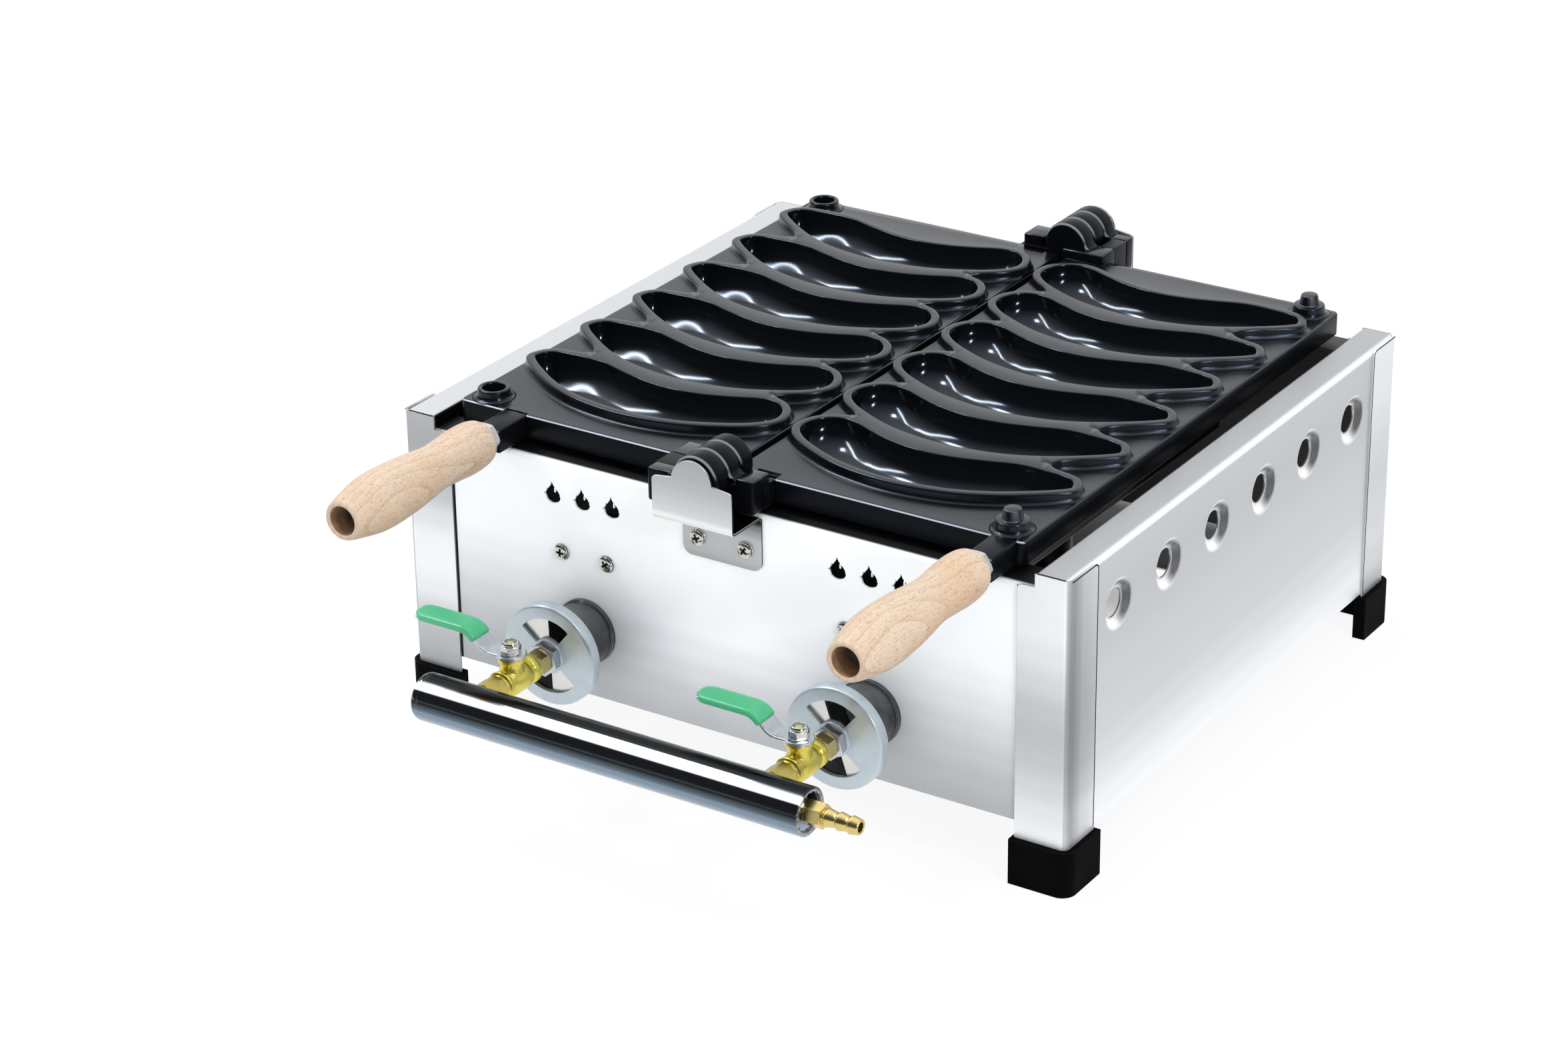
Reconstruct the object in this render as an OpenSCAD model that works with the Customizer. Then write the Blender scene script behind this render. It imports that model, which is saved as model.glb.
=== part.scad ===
// Gas waffle maker: a sheet-metal frame on rubber feet, two hinged cast plates with half-moon
// cavities and wooden handles, and a pair of burners fed by one manifold.
// The parting plane of the closed plates passes through the hinge axis, which runs along Y.

/* [Cavities] */
// Number of half-moon cavities in each plate
cavity_n = 6; // [3:1:8]
// Distance from one cavity to the next
cavity_pitch = 51.8; // [50:0.1:58]
// Length of a cavity, hinge end to tip
cavity_l = 162; // [140:1:180]
// Width that a cavity takes, belly to horn
cavity_w = 52.2; // [44:0.2:54]
// Depth of a cavity below the parting plane
cavity_depth = 18.5; // [14:0.5:22]
// Wall of the casting round a cavity
cavity_wall = 4; // [3:0.5:5]
// Width of the raised rim round a cavity
rim_w = 4.6; // [3:0.2:6]

/* [Plates] */
// Plate margin between the hinge edge and the cavities
margin_hinge = 6.1; // [6:0.1:12]
// Plate margin beyond the cavity tips
margin_outer = 7.6; // [7:0.1:14]
// Plate margin in front of the first cavity
margin_front = 23; // [20:0.5:40]
// Plate margin behind the last cavity
margin_rear = 26.5; // [24:0.5:40]
// Thickness of the plate casting at its edge
plate_t = 13.3; // [12:0.1:18]
// Height of the cavity rims over the plate surface
rim_h = 5.8; // [4:0.2:8]
// Depth of the hollow underneath the plate
plate_hollow = 8.3; // [4:0.1:9]
// Thickness of the plate's outer skirt
skirt_t = 5; // [4:0.5:7]
// Radius of the plate corners
plate_corner_r = 4; // [1:0.5:6]
// Gap between the two plates at the hinge line
hinge_gap = 4; // [2:0.5:8]
// Gap between the two closed rims
closed_gap = 0.3; // [0.2:0.1:0.6]
// Height of the plate underside over the ledge it rests on
plate_rise = 4.5; // [4:0.1:8]
// Gap under the resting pads of a plate
rest_gap = 0.3; // [0.2:0.1:0.5]

/* [Locating pins] */
// Distance of the locating pins from the plate's outer edge
pin_inset_side = 14.2; // [10:0.1:20]
// Distance of the front locating pin from the plate's front edge
pin_inset_front = 12.6; // [10:0.1:14]
// Distance of the rear locating pin from the plate's rear edge
pin_inset_rear = 11; // [10:0.1:14]
// Outer radius of a locating ring
ring_r = 9; // [8:0.1:11]
// Radius of the hole in a locating ring
ring_hole_r = 6.3; // [6.2:0.05:7]
// Depth of the hole in a locating ring
ring_hole_depth = 8; // [7:0.5:10]
// Radius of a locating pin at its root
pin_r = 6; // [4:0.1:6]
// Height of a locating pin over the rims
pin_h = 5.9; // [3:0.1:6]

/* [Hinge] */
// Radius of the hinge pins
hinge_pin_r = 5; // [4:0.1:6.5]
// Running clearance between a hinge pin and its knuckles
hinge_fit = 0.05; // [0.02:0.01:0.1]
// Outer radius of the hinge knuckles
knuckle_r = 13.8; // [11:0.1:15]
// Length of one hinge knuckle
knuckle_l = 11.7; // [10:0.1:13]
// Gap between neighbouring knuckles
knuckle_gap = 0.4; // [0.3:0.05:0.6]
// Width of the hinge lugs on the left plate, from the axis
lug_w_left = 31.5; // [24:0.5:36]
// Width of the hinge lugs on the right plate, from the axis
lug_w_right = 27.6; // [24:0.2:36]

/* [Handles] */
// Distance of the left handle from the plate's outer edge
grip_inset = 37.2; // [32:0.1:50]
// Height of the handle axis over the plate underside
grip_rise = 8.5; // [7.5:0.1:10]
// Length of a wooden grip
grip_l = 120.5; // [90:0.5:150]
// Largest radius of a wooden grip
grip_r = 16; // [14:0.1:17]
// Free space between the two grips when the plates are closed
grip_gap = 0.6; // [0.3:0.1:4]
// Width of the lug that carries a handle
handle_lug_w = 15.6; // [14:0.2:18]
// Length of the lug that carries a handle
handle_lug_l = 25; // [16:0.5:32]
// Radius of the handle rod
rod_r = 3; // [2.5:0.1:3.5]
// Width across flats of the nut behind a grip
lug_nut_af = 16; // [14:0.5:18]
// Thickness of the nut behind a grip
lug_nut_t = 5; // [4:0.5:7]
// Radius of the counterbore in the end of a grip
grip_bore_r = 8.1; // [7.5:0.1:9]
// Depth of the counterbore in the end of a grip
grip_bore_depth = 18; // [12:1:25]

/* [Frame] */
// Height of the side strips over the floor
frame_h = 181; // [165:1:200]
// Step from the side strips down to the plate ledge
ledge_drop = 8; // [7.5:0.5:12]
// Width of the side strips
strip_w = 20.8; // [16:0.2:26]
// Gap between a plate and a side strip
plate_side_gap = 11.5; // [8:0.5:16]
// Gap between a plate and the ends of the frame
plate_end_gap = 8; // [6:0.5:12]
// Sheet thickness of the posts and end panels
sheet_t = 1.2; // [0.8:0.1:2]
// Sheet thickness of the side panels
side_sheet_t = 1; // [0.8:0.1:1.5]
// Outer bend radius of the posts
post_bend_r = 4; // [3:0.5:6]
// Width of a post seen from the front
post_front_w = 31; // [28:0.5:40]
// Width of a post seen from the side
post_side_w = 29; // [24:0.5:36]
// Width of the ledge at the top of an end panel
ledge_w = 21; // [18:0.5:26]
// Depth of the lip inside a side strip
lip_h = 7; // [3:0.5:7]
// Height of the end panels' lower edge over the floor
end_panel_z = 36; // [30:1:48]
// Height of the side panels' lower edge over the floor
side_panel_z = 28; // [27:1:48]

/* [Feet] */
// Height of a rubber foot
foot_h = 26.5; // [15:0.5:26.5]
// Rubber wall outside the post
foot_wall = 3.4; // [2:0.1:5]
// Rubber wall inside the post
foot_inner_wall = 3; // [2:0.1:4]
// Rubber under the post
foot_sole = 3; // [2:0.5:6]
// Rubber past the edges of the post
foot_end_wall = 1.6; // [1:0.1:3]

/* [Vents and sight holes] */
// Number of vents in a side panel
vent_n = 6; // [2:1:6]
// Distance from one vent to the next
vent_pitch = 54.6; // [40:0.2:58]
// Height of the vents over the floor
vent_z = 147; // [120:1:155]
// Radius of the hole in a vent
vent_r = 8.1; // [5:0.1:10]
// Radius of the pressed dish round a vent
vent_dish_r = 14.5; // [12.5:0.1:18]
// Depth of the pressed dish round a vent
vent_dish_depth = 3; // [1.5:0.1:4]
// Height of the flame-shaped sight holes over the floor
flame_z = 154.5; // [145:0.5:158]
// Width of a flame-shaped sight hole
flame_w = 10.5; // [6:0.5:14]
// Height of a flame-shaped sight hole
flame_h = 13; // [8:0.5:16]
// Distance between the outer sight holes and the middle one
flame_pitch = 19.5; // [17:0.5:24]

/* [Hinge brackets] */
// Reach of a bracket from the end panel
bracket_reach = 28.8; // [27.8:0.1:30]
// Width of a bracket
bracket_w = 50; // [34:1:60]
// Sheet thickness of a bracket
bracket_t = 1.5; // [1:0.1:2]
// Outer bend radius of a bracket
bracket_bend_r = 3; // [2:0.5:4]
// Radius of the dome round the hinge axis
bracket_dome_r = 12.6; // [10:0.1:14]
// Drop from the hinge axis to the bracket's shelf
bracket_shelf_drop = 25.8; // [25:0.1:28]
// Height of the bracket part that lies on the end panel
bracket_foot_h = 32.5; // [26:0.5:45]
// Distance between the two bracket screws
bracket_screw_pitch = 30; // [22:1:36]
// Drop from the bracket's shelf to its screws
bracket_screw_drop = 19.8; // [14:0.1:22]
// Radius of the screw heads
screw_head_r = 5; // [4:0.1:6]
// Height of the screw heads
screw_head_h = 2.8; // [2:0.1:4]
// Radius of the screw shanks
screw_r = 2; // [1.5:0.1:2.5]

/* [Burners] */
// Distance of each burner from the middle of the frame
burner_x = 91; // [80:0.5:100]
// Height of the mixing tubes' axis over the floor
burner_z = 75.5; // [65:0.5:80]
// Radius of the burner neck
neck_r = 17.8; // [16:0.1:19]
// Wall of the burner neck and tube
neck_wall = 2; // [1.5:0.1:3]
// Radius of the collar where the neck meets the panel
collar_r = 18.8; // [18.7:0.1:22]
// Gap between the neck and the hole in the panel
neck_hole_gap = 0.2; // [0.1:0.1:0.4]
// Radius of the mixing tube inside the frame
tube_r = 14; // [11:0.5:15]
// Height of the burner screws over the floor
burner_screw_z = 119.3; // [115:0.1:124]
// Distance between the two screws of a burner
burner_screw_pitch = 29.8; // [24:0.2:32]
// Width of the burner bar
bar_w = 36; // [34:1:44]
// Height of the burner bar
bar_h = 24; // [20:1:28]
// Distance from one flame slot to the next
slot_pitch = 12; // [8:1:20]
// Width of a flame slot
slot_w = 2; // [1:0.2:3]

/* [Air shutters] */
// Distance from the end panel to the shutter's front face
shutter_reach = 36.7; // [34:0.1:44]
// Radius of an air shutter
shutter_r = 29.3; // [28:0.1:32]
// Depth of the shutter's rim
shutter_rim = 7.5; // [6:0.1:9]
// Wall of an air shutter
shutter_wall = 2; // [1.5:0.1:2.5]
// Radius of the shutter's hub
shutter_hub_r = 10; // [9:0.1:12]
// Inner radius of the air windows
window_r0 = 10; // [10:0.1:13]
// Outer radius of the air windows
window_r1 = 21.8; // [17:0.1:22]
// Angle that each shutter window spans
window_a = 89.5; // [60:0.5:100]
// Angle at which the first shutter window starts
window_a0 = 50.5; // [40:0.5:60]
// Angle that each opening of the neck plate spans
port_a = 88; // [60:1:88]
// Angle at which the left neck plate's opening starts
port_a0_left = 4; // [0:0.5:10]
// Angle at which the right neck plate's opening starts
port_a0_right = 20.5; // [15:0.5:25]
// Clearance between a shutter and what it turns on
shutter_fit = 0.05; // [0.02:0.01:0.1]

/* [Valves and manifold] */
// Radius of the nozzle's shank
nozzle_r = 5; // [4:0.1:6]
// Width across flats of the nozzle's hexagon
nozzle_af = 14; // [13:0.5:16]
// Width across flats of the nut on a shutter
shutter_nut_af = 17; // [15:0.5:19]
// Thickness of the nut on a shutter
shutter_nut_t = 6.5; // [4:0.5:8]
// Radius of the valve body
valve_r = 8; // [7.5:0.1:9]
// Width across flats of the valve's hexagon
valve_af = 15; // [14:0.5:18]
// Length of the valve body
valve_l = 42.7; // [38:0.1:50]
// Distance from the valve's rear end to its stem
valve_stem_y = 17; // [14:0.5:20]
// Radius of the boss round the valve stem
valve_boss_r = 7.4; // [6.5:0.1:8]
// Height of the valve boss over the valve's axis
valve_boss_h = 14.2; // [14:0.1:18]
// Radius of the valve stem
stem_r = 3; // [2:0.1:3.5]
// Clearance between a valve stem and its bore
stem_fit = 0.05; // [0.02:0.01:0.1]
// Radius of the ball in the valve
ball_r = 6; // [5:0.1:6.2]
// Sheet thickness of a lever
lever_t = 1.8; // [1.2:0.1:2.5]
// Width of a lever
lever_w = 13; // [10:0.5:15]
// Reach of a lever from its stem
lever_l = 61; // [50:1:75]
// Rise of a lever from its washer to its grip
lever_rise = 10; // [5:0.5:14]
// Wall of a lever's plastic sleeve
sleeve_wall = 1.5; // [1:0.1:2]
// Width across flats of a stem nut
stem_nut_af = 10; // [9:0.5:12]
// Height of a stem nut
stem_nut_h = 6.7; // [4:0.1:8]
// Outer radius of the manifold pipe
manifold_r = 13.25; // [11:0.05:13.5]
// Wall of the manifold pipe
manifold_wall = 2; // [1.5:0.1:3]
// Left end of the manifold, from the middle of the frame
manifold_left = 120.5; // [110:0.5:140]
// Right end of the manifold, from the middle of the frame
manifold_right = 122.5; // [110:0.5:140]
// Width across flats of the hose barb's hexagon
barb_af = 12; // [11:0.5:15]
// Length of the hose barb's hexagon
barb_hex_l = 9; // [6:0.5:12]
// Length of the ridged part of the hose barb
barb_l = 21; // [15:1:30]
// Radius of the hose barb's ridges
barb_r = 5; // [4:0.1:5.5]
// Radius of the hose barb's bore
barb_bore_r = 2.7; // [2:0.1:3]

/* [Hidden] */
$fn = 64;
// Overshoot of a cut past the face that it leaves
e = 1;
// Small gap between parts of the fixed frame that are not welded
loose = 0.3;

// Plate sizes, worked out from the cavities and the margins
plate_w = margin_hinge + cavity_l + margin_outer;
plate_front = cavity_pitch * (cavity_n - 1) / 2 + cavity_w * 0.52 + margin_front;
plate_rear = cavity_pitch * (cavity_n - 1) / 2 + cavity_w * 0.48 + margin_rear;
plate_x0 = hinge_gap / 2;
plate_x1 = plate_x0 + plate_w;
pin_reach = plate_x1 - pin_inset_side;
pad_l = 20;
pad_inset = 12;

// Frame sizes, worked out from the plates that it holds
frame_x = plate_x1 + plate_side_gap + strip_w;
frame_y = max(plate_front, plate_rear) + plate_end_gap;
ledge_z = frame_h - ledge_drop;
plate_z = ledge_z + plate_rise;
surface_z = plate_z + plate_t;
axis_z = surface_z + rim_h;
rim_z = axis_z - closed_gap / 2;
panel_y = frame_y - sheet_t;
bracket_y = panel_y + bracket_reach;
shelf_z = axis_z - bracket_shelf_drop;
bracket_screw_z = shelf_z - bracket_screw_drop;

// Knuckles: the first one stands against the bracket, and each plate carries every other one
knuckle_y0 = bracket_y - bracket_t - 1.6;
knuckle_step = knuckle_l + knuckle_gap;
lug_y1 = knuckle_y0 - 2.5;
lug_x0 = 0.5;
lug_step_x = knuckle_r + 3.8;
// The hinge pins stop inside the innermost knuckles
hinge_pin_l = bracket_y - knuckle_y0 + 3 * knuckle_step - 4;

// Handles: the right one is set out so that the closed grips lie side by side
grip_x = plate_x1 - grip_inset;
grip_z = plate_z + grip_rise;
grip_apart = 2 * grip_r + grip_gap;
grip_x_right = grip_x + sqrt(pow(grip_apart, 2) - pow(2 * (axis_z - grip_z), 2));
handle_lug_y = plate_front + handle_lug_l;
grip_y0 = handle_lug_y + lug_nut_t;
front_reach = grip_y0 + grip_l;
rod_y0 = handle_lug_y - handle_lug_l + 3;
rod_y1 = front_reach - 8;

// The origin lies on the floor under the middle of the whole object
y_shift = (front_reach - bracket_y) / 2;

// Burner bar: its floor, and its ends measured from the middle of the frame
bar_z0 = burner_screw_z - bar_h / 2;
bar_y = panel_y - sheet_t - 16;

// Gas train along the mixing tube's axis, measured forward from the middle of the frame
shutter_y = panel_y + shutter_reach;
shutter_hub_h = 1;
nut_y0 = shutter_y + shutter_hub_h + loose;
nut_y1 = nut_y0 + shutter_nut_t;
nozzle_hex_y0 = nut_y1 + 3;
valve_y0 = nozzle_hex_y0 + 4.7;
valve_y1 = valve_y0 + valve_l;
stem_y = valve_y0 + valve_stem_y;
manifold_y = valve_y1 + manifold_r;
neck_front = shutter_y - shutter_wall - loose - 2;
neck_flare_r = window_r1 + 2.2;
// Place where the mixing tube's taper reaches the neck's width
taper_y = panel_y - 40;
nozzle_y0 = neck_front - 7;
nozzle_depth = 6;
stub_l = 4;
washer_r = 8.2;
stem_top = valve_boss_h + loose + lever_t + stem_nut_h + 0.4;
// Thickness of the manifold's ends, and how far its right end is set in
plug_t = 5;
recess = 1.5;
// Side view of a lever's underside, from the stem outwards
lever_line = [[0, 0], [washer_r + 7, 0], [washer_r + 17, lever_rise],
              [lever_l - sleeve_wall, lever_rise]];

// Outline of one half-moon, chosen by hand at a size of 162 by 52.2:
// distance from the end at the hinge, and distance behind the row's middle line
MOON = [
    [162, 12], [157, 19.5], [143, 21.6], [125, 21.7], [108, 16.6], [90, 11.8], [71, 10.1],
    [52, 13], [36, 18.5], [22, 24.3], [11, 24.2], [3, 17], [0.5, 6], [7, -4], [22, -13.6],
    [46, -23.3], [76, -27.1], [106, -23.4], [129, -14.5], [148, -2.3], [160, 7.5],
];
moon_k = [cavity_l / 162, cavity_w / 52.2];

// Point of the closed smooth curve through MOON, i from 0 to its length
function curve_point(a, b, c, d, t) =
    (2 * b + (c - a) * t + (2 * a - 5 * b + 4 * c - d) * t * t
     + (3 * b - a - 3 * c + d) * t * t * t) / 2;
function moon_raw(s) =
    let (n = len(MOON), i = floor(s), p = [for (k = [-1:2]) MOON[(i + k + n) % n]])
    curve_point(p[0], p[1], p[2], p[3], s - i);
function moon_point(s) =
    let (p = moon_raw(s)) [p[0] * moon_k[0], p[1] * moon_k[1]];
// Outline moved outwards by d, with m points
function moon_outline(d, m) =
    [for (j = [0:m - 1])
        let (n = len(MOON), s = j * n / m, a = moon_point((s - 0.05 + n) % n),
             b = moon_point((s + 0.05) % n), t = (b - a) / norm(b - a))
        moon_point(s) + d * [t[1], -t[0]]];
// Middle line of the half-moon, where its depth is greatest
function spine_y(u) =
    let (q = (u / cavity_l - 0.46) / 0.54) cavity_w * (0.62 * q * q - 0.14 * pow(q, 4) - 0.16);
function spine_point(u) = let (w = 0.1 * cavity_l + 0.83 * u) [w, spine_y(w)];
// Outline drawn in towards the middle line, k from 1 at the edge to 0 at the line
function moon_ring(d, k, z, m) =
    [for (p = moon_outline(d, m)) let (c = spine_point(p[0]), q = c + (p - c) * k) [q[0], q[1], z]];

// Triangles that close a ring of m points across its width, from its tip at point 0 to its
// other tip at point 4m / 7
function across(j, m) = (m - floor(j * 3 / 4)) % m;
function cap_faces(m) =
    [for (j = [0:4 * m / 7 - 1], f = [[j, j + 1, across(j, m)], [j + 1, across(j + 1, m), across(j, m)]])
        if (f[0] != f[1] && f[1] != f[2] && f[2] != f[0]) f];
// Solid through a stack of n rings of m points each, lowest ring first
function ring_faces(n, m) = concat(
    cap_faces(m),
    [for (i = [0:n - 2], j = [0:m - 1], half = [0, 1])
        let (a = i * m + j, b = i * m + (j + 1) % m)
        half == 0 ? [a, a + m, b + m] : [a, b + m, b]],
    [for (f = cap_faces(m)) [for (j = [2:-1:0]) (n - 1) * m + f[j]]]);
module ring_stack(rings) {
    m = len(rings[0]);
    polyhedron([for (r = rings) each r], ring_faces(len(rings), m), convexity = 4);
}

// Placing helpers
module placed() translate([0, y_shift, 0]) children();
module side(s) mirror([s < 0 ? 1 : 0, 0, 0]) children();
module end(s) mirror([0, s < 0 ? 1 : 0, 0]) children();
// Turns what is drawn along +Z so that it runs forward, from y in front of the middle
module forward(y) translate([0, -y, 0]) rotate([90, 0, 0]) children();
// Turns a drawing in X and Z into a plate from y0 to y1
module slab_y(y0, y1) translate([0, y1, 0]) rotate([90, 0, 0]) linear_extrude(y1 - y0) children();
// Turns a drawing in Y and Z into a bar from x0 to x1
module bar_x(x0, x1)
    translate([x0, 0, 0]) rotate([90, 0, 90]) linear_extrude(x1 - x0) children();
module hex(af, h) cylinder(h = h, d = af / cos(30), $fn = 6);

// Flat drawings
module rounded_box(x0, y0, x1, y1, r) {
    translate([x0 + r, y0]) square([x1 - x0 - 2 * r, y1 - y0]);
    translate([x0, y0 + r]) square([x1 - x0, y1 - y0 - 2 * r]);
    for (x = [x0 + r, x1 - r], y = [y0 + r, y1 - r]) translate([x, y]) circle(r);
}
// What a rounded corner at the origin leaves out of material towards +X and +Y
module corner_waste(r) difference() {
    translate([-e, -e]) square(r + e);
    translate([r, r]) circle(r);
}
// Bent sheet with its outer corner at the origin and its arms along +X and +Y
module angle(ax, ay, t, r) {
    translate([r, 0]) square([ax - r, t]);
    translate([0, r]) square([t, ay - r]);
    intersection() {
        square(r);
        translate([r, r]) difference() {
            circle(r);
            circle(r - t);
        }
    }
}
// Wedge between two angles that lie less than half a turn apart
module wedge(a0, a1, r)
    polygon(concat([[0, 0]],
        [for (k = [0:4]) let (a = a0 + (a1 - a0) * k / 4) r * [cos(a), sin(a)]]));
// Two air openings in a disc, opposite each other
module windows(a0, span) intersection() {
    difference() {
        circle(window_r1);
        circle(window_r0);
    }
    for (a = [a0, a0 + 180]) wedge(a, a + span, window_r1 * 2);
}
// Strip between two distances to the left of a bent line
function left_of(p, i) =
    let (b = p[i], u = i == 0 ? undef : (b - p[i - 1]) / norm(b - p[i - 1]),
         v = i == len(p) - 1 ? u : (p[i + 1] - b) / norm(p[i + 1] - b),
         w = i == 0 ? v : u, n = [-w[1] - v[1], w[0] + v[0]])
    n * 2 / (n * n);
module strip(p, t0, t1)
    polygon(concat([for (i = [0:len(p) - 1]) p[i] + t0 * left_of(p, i)],
                   [for (i = [len(p) - 1:-1:0]) p[i] + t1 * left_of(p, i)]));

// Frame: four bent posts in rubber feet, two side panels and two end panels
module post_drawing()
    translate([frame_x, frame_y]) rotate(180)
    angle(post_front_w, post_side_w, sheet_t, post_bend_r);
module post(sx, sy) color("silver") placed() side(sx) end(sy) difference() {
    top = frame_h - 0.4;
    translate([0, 0, foot_sole]) linear_extrude(top - foot_sole) post_drawing();
    translate([frame_x - post_front_w - e, frame_y - sheet_t - e, ledge_z])
        cube([post_front_w - strip_w + e, sheet_t + 2 * e, ledge_drop + e]);
    slab_y(frame_y - sheet_t - e, frame_y + e)
        translate([frame_x - post_front_w, ledge_z]) mirror([0, 1]) corner_waste(3);
    bar_x(frame_x - sheet_t - e, frame_x + e)
        translate([frame_y - post_side_w, top]) mirror([0, 1]) corner_waste(3.5);
}
module foot(sx, sy) color("dimgray") placed() side(sx) end(sy) difference() {
    wall = foot_wall + sheet_t + foot_inner_wall;
    ends = foot_wall + foot_end_wall;
    linear_extrude(foot_h) translate([frame_x + foot_wall, frame_y + foot_wall]) rotate(180)
        angle(post_front_w + ends, post_side_w + ends, wall, wall + 0.5);
    translate([0, 0, foot_sole]) linear_extrude(foot_h) post_drawing();
}

// Section of a vent's dish: radius, and depth below the panel's face
module vent_drawing() {
    steps = [for (k = [0:6]) [vent_dish_r + (vent_r - vent_dish_r) * k / 6,
                              -vent_dish_depth * (1 - cos(30 * k)) / 2]];
    edge = [vent_dish_r + 0.5, 0];
    under = [0, -side_sheet_t];
    polygon(concat([edge], steps, [for (k = [6:-1:0]) steps[k] + under], [edge + under]));
}
module side_panel(sx) color("gainsboro") placed() side(sx) difference() {
    t = side_sheet_t;
    x1 = frame_x - sheet_t;
    vents = [for (k = [0:vent_n - 1]) vent_pitch * (k - (vent_n - 1) / 2)];
    union() {
        difference() {
            slab_y(-panel_y, panel_y) {
                translate([x1, frame_h]) rotate(180)
                    angle(strip_w - sheet_t - 2, frame_h - side_panel_z, t, 3.5);
                translate([frame_x - strip_w, frame_h]) mirror([0, 1]) angle(2.5, lip_h, t, 2);
            }
            for (y = vents) translate([x1 - t - e, y, vent_z]) rotate([0, 90, 0])
                cylinder(h = t + 2 * e, r = vent_dish_r);
        }
        for (y = vents) translate([x1, y, vent_z]) rotate([0, 90, 0]) rotate_extrude()
            vent_drawing();
    }
    for (s = [-1, 1]) end(s) translate([x1, panel_y, side_panel_z - e]) rotate(180)
        linear_extrude(frame_h) corner_waste(post_bend_r - 0.7);
}

// Flame-shaped sight hole: a drop with its point at the top
module flame_drawing()
    polygon([for (a = [0:15:345])
        let (up = max(sin(a), 0), down = min(sin(a), 0))
        [flame_w / 2 * cos(a) * pow(1 - up, 0.3) + 0.12 * flame_w * up,
         flame_h * (0.62 * up + 0.38 * down - 0.12)]]);
module end_panel(sy) color("whitesmoke") placed() end(sy) difference() {
    bar_x(-(frame_x - 6), frame_x - 6) translate([panel_y, ledge_z]) rotate(180)
        angle(ledge_w, ledge_z - end_panel_z, sheet_t, 2.5);
    slab_y(panel_y - sheet_t - e, panel_y + e) {
        for (s = [-1, 1], k = [-1:1]) translate([s * burner_x + flame_pitch * k, flame_z])
            flame_drawing();
        for (s = [-1, 1], k = [-0.5, 0.5])
            translate([s * burner_x + k * burner_screw_pitch, burner_screw_z]) circle(screw_r);
        for (k = [-0.5, 0.5]) translate([k * bracket_screw_pitch, bracket_screw_z])
            circle(screw_r);
        if (sy < 0) for (s = [-1, 1]) translate([s * burner_x, burner_z])
            circle(neck_r + neck_hole_gap);
    }
}

// Hinge bracket: a Z of sheet, with a dome round the hinge pin
module bracket(sy) color("lightgray") placed() end(sy) difference() {
    t = bracket_t;
    r = bracket_bend_r;
    lower_z = shelf_z + t - bracket_foot_h;
    intersection() {
        bar_x(-bracket_w / 2, bracket_w / 2) {
            translate([bracket_y, shelf_z]) rotate(90)
                angle(axis_z + bracket_dome_r + e - shelf_z, 2 * r + e, t, r);
            translate([panel_y + r, shelf_z]) square([bracket_reach - 3 * r, t]);
            translate([panel_y, shelf_z + t]) mirror([0, 1])
                angle(2 * r + e, bracket_foot_h, t, r);
        }
        slab_y(panel_y - e, bracket_y + e) {
            rounded_box(-bracket_w / 2, lower_z, bracket_w / 2, axis_z - 0.9, 2.5);
            translate([0, axis_z]) circle(bracket_dome_r);
        }
    }
    slab_y(panel_y - e, panel_y + t + e) for (s = [0, 1]) mirror([s, 0]) {
        translate([-bracket_w / 2, lower_z]) corner_waste(5.5);
        translate([bracket_screw_pitch / 2, bracket_screw_z]) circle(screw_r);
    }
    slab_y(bracket_y - t - e, bracket_y + e) translate([0, axis_z]) circle(hinge_pin_r);
}
module hinge_pin(sy) color("silver") placed() end(sy)
    translate([0, bracket_y, axis_z]) rotate([90, 0, 0])
    cylinder(h = hinge_pin_l, r = hinge_pin_r);

// Screw with a washer and a domed head, which seats at seat_y and reaches inwards
module screw(sy, x, z, seat_y, length) color("silver") placed() end(sy)
    translate([x, seat_y, z]) rotate([-90, 0, 0]) {
    dome_r = screw_head_r * 1.4;
    translate([0, 0, -length]) cylinder(h = length + 0.5, r = screw_r);
    cylinder(h = 0.8, r = screw_head_r);
    intersection() {
        cylinder(h = screw_head_h, r = screw_head_r - 0.5);
        translate([0, 0, screw_head_h - dome_r]) sphere(dome_r);
    }
}
module bracket_screw(sy, sx)
    screw(sy, sx * bracket_screw_pitch / 2, bracket_screw_z, panel_y + bracket_t,
          bracket_t + sheet_t + 3);
module burner_screw(sy, n)
    screw(sy, (n < 2 ? -1 : 1) * burner_x + (n % 2 - 0.5) * burner_screw_pitch, burner_screw_z,
          panel_y, sheet_t + 8);

// Cast plates: drawn with the hinge axis at x = 0 and the plate towards +X
module row(i)
    translate([plate_x0 + margin_hinge, cavity_pitch * (i - (cavity_n - 1) / 2), 0]) children();
module rim_drawing() {
    half = moon_outline(rim_w / 2, 42);
    behind = [for (k = [len(half) - 1:-1:0]) if (half[k][1] > spine_y(half[k][0])) half[k]];
    ahead = [for (p = half) if (p[1] < spine_y(p[0])) p];
    steps = [for (k = [0:16]) cavity_l * (0.14 + 0.7 * k / 16)];
    for (i = [0:cavity_n - 1]) row(i) polygon(moon_outline(rim_w, 42));
    // Webs that fill the space between neighbouring rims
    for (i = [0:cavity_n - 2]) row(i)
        polygon(concat([for (x = steps) [x, lookup(x, behind)]],
            [for (k = [16:-1:0]) [steps[k], cavity_pitch + lookup(steps[k], ahead)]]));
}
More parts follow.
